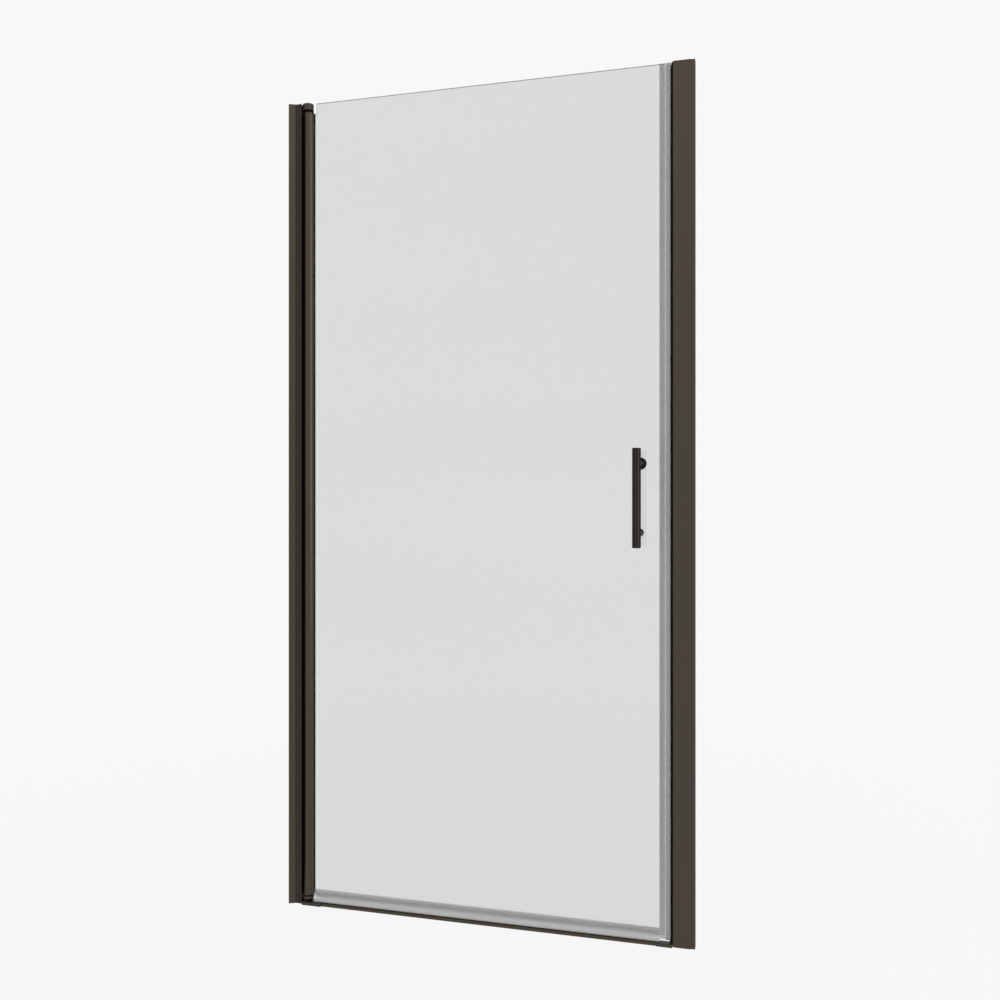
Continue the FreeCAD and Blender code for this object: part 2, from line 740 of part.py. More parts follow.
def glass_panel():
    """Tempered glass leaf, notched at the hinge corners, with two handle holes."""
    body = new_body("glass_panel", pivot_x)
    tab = pocket_floor + s.gasket_wall
    notch = s.glass_notch_reach
    low = stile_bottom + s.glass_tab_inset
    high = stile_top - s.glass_tab_inset
    outline = [(tab, low), (notch, low), (notch, glass_bottom), (glass_edge, glass_bottom),
               (glass_edge, s.frame_height), (notch, s.frame_height), (notch, high), (tab, high)]
    handle = glass_edge - s.handle_setback
    holes = [(handle, height, s.glass_hole_radius) for height in handle_heights()]
    pane = pad(body, new_sketch(body, "XZ_Plane", -glass_half, [outline], holes), s.glass_thickness)
    doc.recompute()
    faces = [f"Face{index}" for index, face in enumerate(pane.Shape.Faces, start=1)
             if face.normalAt(0, 0).cross(FreeCAD.Vector(*INWARD)).Length < SAME_DIRECTION]
    seam = body.newObject("PartDesign::Chamfer", "glass_panel_seam")
    seam.Base = (pane, faces)
    seam.setExpression("Size", s.glass_seam.text)
    body.Tip = seam


def handle_heights():
    return s.handle_height - s.handle_spacing / 2, s.handle_height + s.handle_spacing / 2


def bottom_seal():
    """Clear seal on the bottom edge of the glass: two legs, a hollow bulb with a toe, and a drip fin."""
    body = new_body("bottom_seal", pivot_x)
    start = s.stile_lip_reach + s.seal_start_gap
    length = glass_edge - s.strike_seal_grip - s.seal_end_gap - start
    bulb_start = start + s.bulb_setback
    bulb_length = length - s.bulb_setback
    outer = glass_half + s.seal_leg_wall
    web_bottom = glass_bottom - s.seal_web
    front_top = glass_bottom + s.seal_leg_height
    back_top = glass_bottom + s.seal_back_leg_height
    grip = [(-outer, web_bottom), (outer, web_bottom), (outer, back_top), (glass_half, back_top),
            (glass_half, glass_bottom), (-glass_half, glass_bottom),
            (-glass_half, front_top), (-outer, front_top)]
    pad(body, new_sketch(body, "YZ_Plane", start, [grip]), length)

    bulb = s.bulb_half
    wall = s.bulb_wall
    inner = bulb - wall
    toe = s.toe_reach
    heel = s.toe_round
    low = s.sill_height + s.sweep_gap
    centre = low + bulb
    roof = web_bottom - wall
    skin = [(-outer, web_bottom), (-toe, low + heel, heel), (heel - toe, low), (0, low, bulb),
            (bulb, centre), (bulb, web_bottom)]
    air = [(wall - outer, roof), (wall - toe, low + heel), (heel - toe, low + wall), (0, low + wall, inner),
           (inner, centre), (inner, roof)]
    pad(body, new_sketch(body, "YZ_Plane", bulb_start, [skin, air]), bulb_length)

    fin_end = outer + s.drip_reach
    fin_low = web_bottom - s.drip_drop
    fin = [(bulb, web_bottom), (outer, web_bottom), (fin_end, fin_low + s.drip_thickness),
           (fin_end, fin_low), (bulb, web_bottom - s.drip_thickness)]
    pad(body, new_sketch(body, "YZ_Plane", bulb_start, [fin]), bulb_length)


def strike_seal():
    """Clear seal pushed on the strike edge of the glass, with a hollow that holds the door's magnet."""
    body = new_body("strike_seal", pivot_x, 0, strike_seal_bottom())
    grip = glass_edge - s.strike_seal_grip
    end = glass_edge + s.strike_seal_reach
    outer = glass_half + s.strike_seal_leg
    half = s.strike_seal_half
    bevel = s.strike_seal_bevel
    fin_root = end - bevel - s.strike_fin_width
    fin_top = half + s.strike_fin_height
    profile = [(grip, -outer), (glass_edge, -outer), (glass_edge, -half), (end - bevel, -half),
               (end, bevel - half), (end, half - bevel), (end - bevel, half), (fin_root, fin_top),
               (fin_root - s.strike_seal_leg, fin_top), (fin_root, half), (glass_edge, half),
               (glass_edge, outer), (grip, outer), (grip, glass_half), (glass_edge, glass_half),
               (glass_edge, -glass_half), (grip, -glass_half)]
    wall = s.strike_seal_wall
    inner = half - wall
    start = glass_edge + wall
    hollow = [(start, -inner), (end - wall, -inner), (end - wall, inner), (start, inner)]
    length = s.frame_height - strike_seal_bottom()
    pad(body, new_sketch(body, "XY_Plane", 0, [profile, hollow]), length)

    magnet = new_body("door_magnet", pivot_x, 0, strike_seal_bottom())
    magnet_half = inner - s.screw_gap
    magnet_end = end - wall - s.screw_gap
    magnet_start = magnet_end - s.door_magnet_width
    strip = [(magnet_start, -magnet_half), (magnet_end, -magnet_half),
             (magnet_end, magnet_half), (magnet_start, magnet_half)]
    pad(magnet, new_sketch(magnet, "XY_Plane", 0, [strip]), length)


def bar_y():
    return -(glass_half + s.bar_standoff)


def handle_bar():
    """Round bar outside the glass, with a stud hole behind each post."""
    body = new_body("handle_bar", handle_x, bar_y(), s.handle_height)
    radius = s.bar_radius
    half = s.bar_length / 2
    bevel = s.bar_bevel
    turned = [(0, -half), (radius - bevel, -half), (radius, bevel - half),
              (radius, half - bevel), (radius - bevel, half), (0, half)]
    revolve(body, new_sketch(body, "XZ_Plane", 0, [turned]))
    post = s.handle_spacing / 2
    holes = [(0, -post, stud_hole), (0, post, stud_hole)]
    depth = s.stud_in_bar + s.screw_gap
    cut(body, new_sketch(body, "XZ_Plane", -radius, circles=holes), depth)


def handle_posts():
    """Standoffs between the bar and the glass, saddled to the round of the bar."""
    low = handle_heights()[0]
    body = new_body("handle_posts", handle_x, 0, low)
    foot = -(glass_half + s.handle_washer)
    post = new_sketch(body, "XZ_Plane", -foot, circles=[(0, 0, s.post_radius), (0, 0, stud_hole)])
    pad(body, post, foot - bar_y())
    saddle = new_sketch(body, "XY_Plane", -s.bar_radius, circles=[(0, bar_y(), s.bar_radius)])
    cut(body, saddle, s.bar_radius * 2)
    repeat_up_whole(body)


def repeat_up_whole(body):
    """Repeat all that a body holds at the second handle hole."""
    features = [item for item in body.Group if item.isDerivedFrom("PartDesign::FeatureAddSub")]
    pattern = repeat_up(body, features[0], s.handle_spacing, HANDLE_POSTS)
    pattern.Originals = features


def handle_washers():
    """Sleeved washers outside the glass and plain ones inside it."""
    low = handle_heights()[0]
    bore = stud_hole
    rim = s.handle_washer_radius
    front = new_body("handle_sleeve_washers", handle_x, 0, low)
    face = -glass_half
    sleeve_end = glass_half - s.sleeve_gap
    turned = [(bore, face - s.handle_washer), (rim, face - s.handle_washer), (rim, face),
              (s.sleeve_radius, face), (s.sleeve_radius, sleeve_end), (bore, sleeve_end)]
    revolve(front, new_sketch(front, "XY_Plane", 0, [turned]))
    repeat_up_whole(front)

    back = new_body("handle_back_washers", handle_x, 0, low)
    turned = [(bore, glass_half), (rim, glass_half), (rim, glass_half + s.handle_washer),
              (bore, glass_half + s.handle_washer)]
    revolve(back, new_sketch(back, "XY_Plane", 0, [turned]))
    repeat_up_whole(back)


def handle_studs():
    """Studs that pull the posts, the glass and the inside knob and cap together."""
    body = new_body("handle_studs", handle_x, 0, handle_heights()[0])
    start = bar_y() + s.bar_radius - s.stud_in_bar
    end = glass_half + s.handle_washer + s.stud_in_knob
    disc = new_sketch(body, "XZ_Plane", -end, circles=[(0, 0, s.stud_radius)])
    pad(body, disc, end - start)
    repeat_up_whole(body)


def inner_knob():
    """Turned knob inside, at the upper handle hole."""
    body = new_body("inner_knob", handle_x, glass_half + s.handle_washer, handle_heights()[1])
    length = s.knob_length
    edge = s.knob_bevel
    well = s.stud_in_knob + s.screw_gap
    turned = [(stud_hole, 0), (s.knob_neck_radius, 0), (s.knob_neck_radius, s.knob_neck),
              (s.knob_radius, s.knob_neck + s.knob_flare), (s.knob_radius, length - edge),
              (s.knob_radius - edge, length), (0, length), (0, well), (stud_hole, well)]
    revolve(body, new_sketch(body, "XY_Plane", 0, [turned]))


def inner_cap():
    """Low cap nut inside, at the lower handle hole."""
    body = new_body("inner_cap", handle_x, glass_half + s.handle_washer, handle_heights()[0])
    length = s.cap_length
    edge = s.cap_bevel
    well = s.stud_in_knob + s.screw_gap
    turned = [(stud_hole, 0), (s.cap_radius, 0), (s.cap_radius, length - edge),
              (s.cap_radius - edge, length), (0, length), (0, well), (stud_hole, well)]
    revolve(body, new_sketch(body, "XY_Plane", 0, [turned]))


def pan_screws(label, x, seat, low, length, pitch, count):
    """A row of pan-head screws whose heads seat on a back face and point into it."""
    body = new_body(label, x, seat, low)
    shank = s.screw_radius
    rim = s.screw_head_radius
    turned = [(0, -length), (shank, -length), (shank, 0), (rim, 0), (rim, s.screw_head), (0, s.screw_head)]
    screw = revolve(body, new_sketch(body, "XY_Plane", 0, [turned]))
    repeat_up(body, screw, pitch, count)


def screws():
    channel_back = s.hinge_jamb_half + s.slide_gap + s.hinge_channel_wall
    pan_screws("hinge_lock_screws", hinge_wall + s.hinge_lock_from_wall, channel_back,
               s.lock_inset, s.lock_screw_length, lock_pitch, LOCK_COUNT)
    pan_screws("strike_lock_screws", strike_wall - s.strike_lock_from_wall, s.strike_jamb_half,
               s.lock_inset, s.lock_screw_length, lock_pitch, LOCK_COUNT)
    low, high = tang_screw_heights()
    pan_screws("pivot_tang_screws", hinge_wall + s.tang_screw_from_wall, s.hinge_jamb_half,
               low, s.tang_screw_length, high - low, TANG_SCREWS)


def check_and_write():
    """Stop on any failed object or bad solid, then write one file per sub-part."""
    doc.recompute()
    for item in doc.Objects:
        if "Invalid" in item.State or "Error" in item.State:
            raise RuntimeError(f"{item.Label} failed: {item.State}")
    for body in sub_parts:
        shape = body.Shape
        if shape.isNull() or not shape.isValid() or not shape.Solids:
            raise RuntimeError(f"{body.Label} has no valid solid")
    os.makedirs("parts", exist_ok=True)
    for body in sub_parts:
        body.Shape.exportStep(os.path.join("parts", f"{body.Label}.step"))
        print(f"{body.Label}: {len(body.Shape.Solids)} solid(s), {body.Shape.Volume / 1000:.2f} cm3")


hinge_wall_channel()
hinge_jamb()
hinge_jamb_seal()
strike_wall_channel()
strike_jamb()
strike_magnet_strip()
sill_rail()
lower_pivot_foot()
sill_end_block()
upper_pivot_block()
pivot_pins()
bushings()
lower_pivot_stack()
hinge_stile()
stile_glazing_gasket()
glass_panel()
bottom_seal()
strike_seal()
handle_bar()
handle_posts()
handle_washers()
handle_studs()
inner_knob()
inner_cap()
screws()
check_and_write()
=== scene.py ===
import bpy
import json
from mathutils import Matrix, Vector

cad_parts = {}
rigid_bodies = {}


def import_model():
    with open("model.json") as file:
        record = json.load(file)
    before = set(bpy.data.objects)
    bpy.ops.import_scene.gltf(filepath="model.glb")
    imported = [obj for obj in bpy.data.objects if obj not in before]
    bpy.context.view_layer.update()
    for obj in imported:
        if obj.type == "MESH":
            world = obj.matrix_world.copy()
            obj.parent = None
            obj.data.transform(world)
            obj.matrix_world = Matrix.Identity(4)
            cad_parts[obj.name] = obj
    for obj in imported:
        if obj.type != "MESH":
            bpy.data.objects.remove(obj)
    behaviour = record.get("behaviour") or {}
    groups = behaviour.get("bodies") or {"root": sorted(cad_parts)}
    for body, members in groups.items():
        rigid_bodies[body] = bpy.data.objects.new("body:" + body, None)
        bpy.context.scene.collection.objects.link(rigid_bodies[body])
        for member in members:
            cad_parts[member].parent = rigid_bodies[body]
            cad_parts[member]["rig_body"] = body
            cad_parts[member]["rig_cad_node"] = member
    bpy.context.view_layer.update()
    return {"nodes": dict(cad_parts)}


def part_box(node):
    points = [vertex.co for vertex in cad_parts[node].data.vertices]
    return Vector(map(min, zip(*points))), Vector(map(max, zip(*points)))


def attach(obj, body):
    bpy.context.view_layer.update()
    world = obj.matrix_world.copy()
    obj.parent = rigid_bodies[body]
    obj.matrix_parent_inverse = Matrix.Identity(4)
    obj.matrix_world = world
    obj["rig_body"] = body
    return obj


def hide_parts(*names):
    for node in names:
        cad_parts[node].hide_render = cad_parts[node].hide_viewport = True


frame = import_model()

import json
import math

import bpy
from mathutils import Vector

bl_info = {
    "name": "Pivot shower door",
    "version": (1, 0, 0),
    "blender": (4, 5, 0),
    "location": "View3D > Sidebar > Shower door",
    "description": "Dresses the solids of a pivot shower door with finishes and turned handle parts",
    "category": "Object",
}

MM = 0.001
TOUCHING = 0.02 * MM
MERGING = 0.001 * MM
# Angles between neighbouring faces: below the first they are one face, above the second their edge is
# rounded, and above the third it stays crisp in the shading.
FLAT_ANGLE = math.radians(0.5)
ROUNDED_ANGLE = math.radians(28)
CRISP_ANGLE = math.radians(32)
# Turns the axis of a primitive from Z to Y.
ALONG_Y = (-math.pi / 2, 0, 0)
# Turns a flat primitive's face from Z to X.
FACING_X = (0, math.pi / 2, 0)

TURNED_SIDES = 72
SCREW_SIDES = 40
GRUB_SIDES = 36
FLOOR_SIDES = 128

# Dark metal finishes brighten less than bare metal where a round piece turns away from the eye.
DARK_RIM = (0.52, 0.5, 0.48, 1.0)
# The height over which a seal's soft lip goes over into its body, and the lip's share of extra milkiness.
LIP_FADE = 6 * MM
LIP_MILK = 0.2
# A level face of the glass above this height in metres belongs to its bare top edge.
RIM_HEIGHT = 1.0

FLOOR_RADIUS = 20
FLOOR_DROP = 0.2 * MM
# The floor's own shading fades out between these distances from the door.
SHADOW_NEAR = 0.6
SHADOW_FAR = 2.6
CARD_WIDTH = 0.1
CARD_HEIGHT = 1.96
CARD_PLACE = (-0.56, -0.06, CARD_HEIGHT / 2)
# The camera that was fitted to the photograph's edges, level and turned to the left.
CAMERA_PLACE = (0.6137, -2.0873, 0.9229)
CAMERA_TURN = math.radians(15.38)
CAMERA_LENS = 35.88
CAMERA_SENSOR = 36
CAMERA_REACH = 100


def linear(hex_colour):
    """Linear red, green and blue of an sRGB hex value."""
    shares = [int(hex_colour[i:i + 2], 16) / 255 for i in (0, 2, 4)]
    return tuple(s / 12.92 if s <= 0.04045 else ((s + 0.055) / 1.055) ** 2.4 for s in shares)


class ShowerDoorFinishes(bpy.types.PropertyGroup):
    """Colours of the door's finishes."""

    bronze: bpy.props.FloatVectorProperty(
        name="Anodised bronze", description="Strike jamb, wall channels, sill and stile",
        subtype="COLOR", min=0, max=1, default=linear("4A453F"))
    # The hinge jamb is painted a darker bronze than the other profiles.
    hinge_bronze: bpy.props.FloatVectorProperty(
        name="Hinge jamb bronze", description="The hinge jamb, painted a darker bronze than the other profiles",
        subtype="COLOR", min=0, max=1, default=linear("3B3631"))
    casting: bpy.props.FloatVectorProperty(
        name="Bronze coating", description="Pivot block, foot, collar and end block",
        subtype="COLOR", min=0, max=1, default=linear("46403A"))
    handle: bpy.props.FloatVectorProperty(
        name="Oil-rubbed bronze", description="Pull bar, posts, knob and cap",
        subtype="COLOR", min=0, max=1, default=linear("33312F"))
    steel: bpy.props.FloatVectorProperty(
        name="Stainless steel", description="Pivot pins and handle studs",
        subtype="COLOR", min=0, max=1, default=linear("B5B3AF"))
    screws: bpy.props.FloatVectorProperty(
        name="Black oxide", description="Screws and the pivot nut",
        subtype="COLOR", min=0, max=1, default=linear("2A2725"))
    nylon: bpy.props.FloatVectorProperty(
        name="Black nylon", description="Bushings and the thrust washer",
        subtype="COLOR", min=0, max=1, default=linear("080808"))
    rubber: bpy.props.FloatVectorProperty(
        name="Black rubber", description="Jamb seal and glazing gasket",
        subtype="COLOR", min=0, max=1, default=linear("0A0A0A"))
    vinyl: bpy.props.FloatVectorProperty(
        name="Clear vinyl", description="Seals on the edges of the glass",
        subtype="COLOR", min=0, max=1, default=linear("A2A2A2"))
    # Near-black: ferrite is dark, and the colour is darkened further as painted shade for the shadowed gap
    # between the strike seal and the jamb.
    jamb_magnet: bpy.props.FloatVectorProperty(
        name="Jamb magnet", description="Magnetic strip in the strike jamb",
        subtype="COLOR", min=0, max=1, default=linear("060505"))
    door_magnet: bpy.props.FloatVectorProperty(
        name="Door magnet", description="Magnetic strip inside the strike seal",
        subtype="COLOR", min=0, max=1, default=linear("D2D1D0"))
    glass: bpy.props.FloatVectorProperty(
        name="Glass", description="Tint of light that has passed through the leaf",
        subtype="COLOR", min=0, max=1, default=linear("DEE1E0"))
    glass_edge: bpy.props.FloatVectorProperty(
        name="Glass edge", description="Tint of the ground top edge of the leaf",
        subtype="COLOR", min=0, max=1, default=linear("8A948D"))


class ShowerDoorSizes(bpy.types.PropertyGroup):
    """Sizes of the details that the finished pieces add to the solids."""

    profile_edge: bpy.props.FloatProperty(
        name="Profile edge", description="Rounding on the edges of the extrusions",
        unit="LENGTH", min=0, default=0.12 * MM)
    casting_edge: bpy.props.FloatProperty(
        name="Casting edge", description="Rounding on the edges of the castings",
        unit="LENGTH", min=0, default=0.6 * MM)
    bar_edge: bpy.props.FloatProperty(
        name="Bar edge", description="Rounding on the ends of the pull bar and its posts",
        unit="LENGTH", min=0, default=0.5 * MM)
    nut_edge: bpy.props.FloatProperty(
        name="Nut edge", description="Rounding on the edges of the pivot nut",
        unit="LENGTH", min=0, default=0.4 * MM)
    grub_edge: bpy.props.FloatProperty(
        name="Set screw edge", description="Rounding on the ends of the set screw",
        unit="LENGTH", min=0, default=0.15 * MM)
    head_height: bpy.props.FloatProperty(
        name="Screw head height", description="Height of the pan heads",
        unit="LENGTH", min=0, default=2.2 * MM)
    shank_radius: bpy.props.FloatProperty(
        name="Screw shank radius", description="Radius of the screws under their heads",
        unit="LENGTH", min=0, default=1.6 * MM)
    recess_length: bpy.props.FloatProperty(
        name="Cross recess length", description="Span of the cross recess in a screw head",
        unit="LENGTH", min=0, default=3.4 * MM)
    recess_width: bpy.props.FloatProperty(
        name="Cross recess width", description="Width of the recess's wings",
        unit="LENGTH", min=0, default=0.8 * MM)
    recess_depth: bpy.props.FloatProperty(
        name="Cross recess depth", description="Depth of the recess below the head's top",
        unit="LENGTH", min=0, default=1.3 * MM)
    socket_radius: bpy.props.FloatProperty(
        name="Hex socket radius", description="Radius over the corners of the set screw's socket",
        unit="LENGTH", min=0, default=0.85 * MM)
    socket_depth: bpy.props.FloatProperty(
        name="Hex socket depth", description="Depth of the set screw's socket",
        unit="LENGTH", min=0, default=1.6 * MM)


class ShowerDoorStage(bpy.types.PropertyGroup):
    """Background, floor, card and studio lamps."""

    background: bpy.props.FloatVectorProperty(
        name="Background", description="Colour that shows behind the door",
        subtype="COLOR", min=0, max=1, default=linear("F8F8F8"))
    floor: bpy.props.FloatVectorProperty(
        name="Floor", description="Colour of the floor under the lamps",
        subtype="COLOR", min=0, max=1, default=linear("F4F4F4"))
    card: bpy.props.FloatVectorProperty(
        name="Card", description="Colour of the card beside the hinge jamb",
        subtype="COLOR", min=0, max=1, default=linear("191919"))
    fill: bpy.props.FloatProperty(
        name="Fill", description="Strength of the even light from all round",
        min=0, default=0.85)
    front_power: bpy.props.FloatProperty(
        name="Front softbox", description="Power of the lamp above the camera",
        unit="POWER", min=0, default=4)
    right_power: bpy.props.FloatProperty(
        name="Right softbox", description="Power of the lamp on the strike side",
        unit="POWER", min=0, default=26)


def select_only(piece):
    """Deselect everything, then select one object and make it active."""
    bpy.ops.object.select_all(action="DESELECT")
    piece.select_set(True)
    bpy.context.view_layer.objects.active = piece


def pick(piece, kind, test):
    """In edit mode, select only the faces, edges or vertices whose corner points all pass the test."""
    bpy.ops.object.mode_set(mode="EDIT")
    bpy.ops.mesh.select_mode(type=kind)
    bpy.ops.mesh.select_all(action="DESELECT")
    bpy.ops.object.mode_set(mode="OBJECT")
    mesh = piece.data
    if kind == "VERT":
        for vertex in mesh.vertices:
            vertex.select = test(vertex.co)
    else:
        for element in mesh.polygons if kind == "FACE" else mesh.edges:
            element.select = all(test(mesh.vertices[i].co) for i in element.vertices)
    bpy.ops.object.mode_set(mode="EDIT")


def add_modifier(piece, kind, **settings):
    """Add a modifier with its settings and apply it."""
    select_only(piece)
    bpy.ops.object.modifier_add(type=kind)
    modifier = piece.modifiers[-1]
    for name, value in settings.items():
        setattr(modifier, name, value)
    bpy.ops.object.modifier_apply(modifier=modifier.name)


def carve(piece, cutter):
    """Cut one object out of another, with the cutter used up."""
    add_modifier(piece, "BOOLEAN", object=cutter, operation="DIFFERENCE", solver="EXACT")
    select_only(cutter)
    bpy.ops.object.delete()


def smooth(piece):
    """Shade smooth, with sharp edges kept crisp."""
    select_only(piece)
    bpy.ops.object.shade_smooth_by_angle(angle=CRISP_ANGLE)


def settle(piece, name, node, material):
    """Name a finished piece, put its place into its mesh, paint it and let it stand for its CAD node."""
    select_only(piece)
    bpy.ops.object.transform_apply(location=True, rotation=True, scale=True)
    piece.name = name
    piece.data.name = name
    piece.data.materials.clear()
    piece.data.materials.append(material)
    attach(piece, frame["nodes"][node]["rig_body"])
    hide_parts(node)


def paint(material, *nodes):
    """Give CAD nodes a finish."""
    for name in nodes:
        slots = frame["nodes"][name].material_slots
        if not slots:
            raise RuntimeError(f"{name} has no material slot")
        for slot in slots:
            slot.material = material


def softened(node, name, radius, material, segments=2):
    """A copy of a CAD node with its sharp edges rounded, standing for that node."""
    select_only(frame["nodes"][node])
    bpy.ops.object.duplicate()
    piece = bpy.context.object
    del piece["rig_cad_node"]
    bpy.ops.object.parent_clear(type="CLEAR_KEEP_TRANSFORM")
    bpy.ops.mesh.customdata_custom_splitnormals_clear()
    bpy.ops.object.mode_set(mode="EDIT")
    bpy.ops.mesh.select_all(action="SELECT")
    bpy.ops.mesh.remove_doubles(threshold=MERGING)
    bpy.ops.mesh.dissolve_limited(angle_limit=FLAT_ANGLE)
    bpy.ops.object.mode_set(mode="OBJECT")
    add_modifier(piece, "BEVEL", width=radius, segments=segments, limit_method="ANGLE",
                 angle_limit=ROUNDED_ANGLE, use_clamp_overlap=True, miter_outer="MITER_ARC")
    smooth(piece)
    add_modifier(piece, "WEIGHTED_NORMAL", keep_sharp=True)
    settle(piece, name, node, material)


def lathe_seat(node):
    """The middle of a turned CAD node's face to the glass, its length along +Y and its radius."""
    low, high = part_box(node)
    middle = Vector(((low.x + high.x) / 2, low.y, (low.z + high.z) / 2))
    return middle, high.y - low.y, (high.x - low.x) / 2


def turned(stations, centre):
    """A part turned on a lathe, along +Y from the centre: one (distance, radius) pair for each step."""
    first_y, first_radius = stations[0]
    second_y, second_radius = stations[1]
    depth = second_y - first_y
    bpy.ops.mesh.primitive_cone_add(
        vertices=TURNED_SIDES, radius1=first_radius, radius2=second_radius, depth=depth,
        location=centre + Vector((0, first_y + depth / 2, 0)), rotation=ALONG_Y)
    piece = bpy.context.object
    bpy.ops.object.transform_apply(location=True, rotation=True, scale=True)
    end = centre.y + second_y
    pick(piece, "FACE", lambda corner: abs(corner.y - end) < TOUCHING)
    for (y, radius), (next_y, next_radius) in zip(stations[1:], stations[2:]):
        bpy.ops.mesh.extrude_region_move(TRANSFORM_OT_translate={"value": (0, next_y - y, 0)})
        share = next_radius / radius
        bpy.ops.transform.resize(value=(share, 1, share), center_override=centre + Vector((0, next_y, 0)))
    bpy.ops.mesh.select_all(action="SELECT")
    bpy.ops.mesh.normals_make_consistent(inside=False)
    bpy.ops.object.mode_set(mode="OBJECT")
    smooth(piece)
    return piece


def bowl(middle, half_length, radius, start, end, steps):
    """Stations on an oval from one angle to another, in degrees above the oval's middle."""
    angles = [math.radians(start + (end - start) * i / steps) for i in range(steps + 1)]
    return [(middle + half_length * math.sin(a), radius * math.cos(a)) for a in angles]


def pan_screw(head_radius, shank_length, sizes):
    """A pan-head screw at the origin, its head towards +Y, with a tapered cross recess."""
    height = sizes.head_height
    dome = 0.6 * height
    taper = 0.6
    bpy.ops.mesh.primitive_cylinder_add(vertices=SCREW_SIDES, radius=head_radius, depth=height,
                                        location=(0, height / 2, 0), rotation=ALONG_Y)
    screw = bpy.context.object
    bpy.ops.object.transform_apply(location=True, rotation=True, scale=True)
    pick(screw, "FACE", lambda corner: corner.y < TOUCHING)
    bpy.ops.mesh.inset(thickness=head_radius - sizes.shank_radius)
    bpy.ops.mesh.extrude_region_move(TRANSFORM_OT_translate={"value": (0, -shank_length, 0)})
    bpy.ops.object.mode_set(mode="OBJECT")
    pick(screw, "EDGE", lambda corner: corner.y > height - TOUCHING)
    bpy.ops.mesh.bevel(offset=dome, segments=6, profile=0.5, affect="EDGES", clamp_overlap=True)
    bpy.ops.object.mode_set(mode="OBJECT")

    width = sizes.recess_width
    wing = (sizes.recess_length - width) / 2
    bpy.ops.mesh.primitive_cube_add(size=1, location=(0, height, 0),
                                    scale=(width, 2 * sizes.recess_depth, width))
    cutter = bpy.context.object
    bpy.ops.object.transform_apply(location=True, rotation=True, scale=True)
    for axis, sign in ((0, 1), (0, -1), (2, 1), (2, -1)):
        step = [0, 0, 0]
        step[axis] = sign * wing
        pick(cutter, "FACE", lambda corner: sign * corner[axis] > width / 2 - TOUCHING)
        bpy.ops.mesh.extrude_region_move(TRANSFORM_OT_translate={"value": step})
        bpy.ops.object.mode_set(mode="OBJECT")
    pick(cutter, "VERT", lambda corner: corner.y < height)
    bpy.ops.transform.resize(value=(taper, 1, taper), center_override=(0, height, 0))
    bpy.ops.object.mode_set(mode="OBJECT")
    carve(screw, cutter)
    smooth(screw)
    return screw


def grub_screw(low, high, sizes):
    """A set screw that fills a box along Y, with a hexagon socket in its +Y end."""
    middle = (low + high) / 2
    bpy.ops.mesh.primitive_cylinder_add(
        vertices=GRUB_SIDES, radius=(high.x - low.x) / 2, depth=high.y - low.y,
        location=middle, rotation=ALONG_Y)
    grub = bpy.context.object
    bpy.ops.object.transform_apply(location=True, rotation=True, scale=True)
    bpy.ops.mesh.primitive_cylinder_add(
        vertices=6, radius=sizes.socket_radius, depth=2 * sizes.socket_depth,
        location=(middle.x, high.y, middle.z), rotation=ALONG_Y)
    carve(grub, bpy.context.object)
    add_modifier(grub, "BEVEL", width=sizes.grub_edge, segments=2, limit_method="ANGLE",
                 angle_limit=ROUNDED_ANGLE)
    smooth(grub)
    return grub


def set_out(model, places):
    """Own-mesh copies of a model at each place, joined into one piece, with the model used up."""
    copies = []
    for place in places:
        select_only(model)
        bpy.ops.object.duplicate()
        bpy.ops.transform.translate(value=place)
        bpy.ops.object.transform_apply(location=True, rotation=True, scale=True)
        copies.append(bpy.context.object)
    select_only(model)
    bpy.ops.object.delete()
    select_only(copies[0])
    for copy in copies:
        copy.select_set(True)
    bpy.ops.object.join()
    return bpy.context.object


def add_node(tree, kind, inputs, **settings):
    """A shader node with its settings, its inputs set to values or linked from sockets."""
    node = tree.nodes.new(kind)
    for name, value in settings.items():
        setattr(node, name, value)
    sockets = {socket.identifier: socket for socket in node.inputs}
    for name, value in inputs.items():
        if isinstance(value, bpy.types.NodeSocket):
            tree.links.new(value, sockets[name])
        else:
            sockets[name].default_value = value
    return node


def new_finish(name):
    """An empty material and its node tree."""
    material = bpy.data.materials.new(name)
    material.use_nodes = True
    material.node_tree.nodes.clear()
    return material, material.node_tree


def per_mm(width):
    """A pattern's scale from the width in millimetres of one of its marks."""
    return 1 / (width * MM)


def rgba(colour, share=1.0):
    """A colour property, lightened or darkened by a share, as a socket takes it."""
    return (*(min(1.0, c * share) for c in colour), 1.0)


def stretched(along, width, length):
    """Scales for marks that are narrow across a piece and long along one of its axes, in millimetres."""
    return tuple(per_mm(length if axis == along else width) for axis in "XYZ")


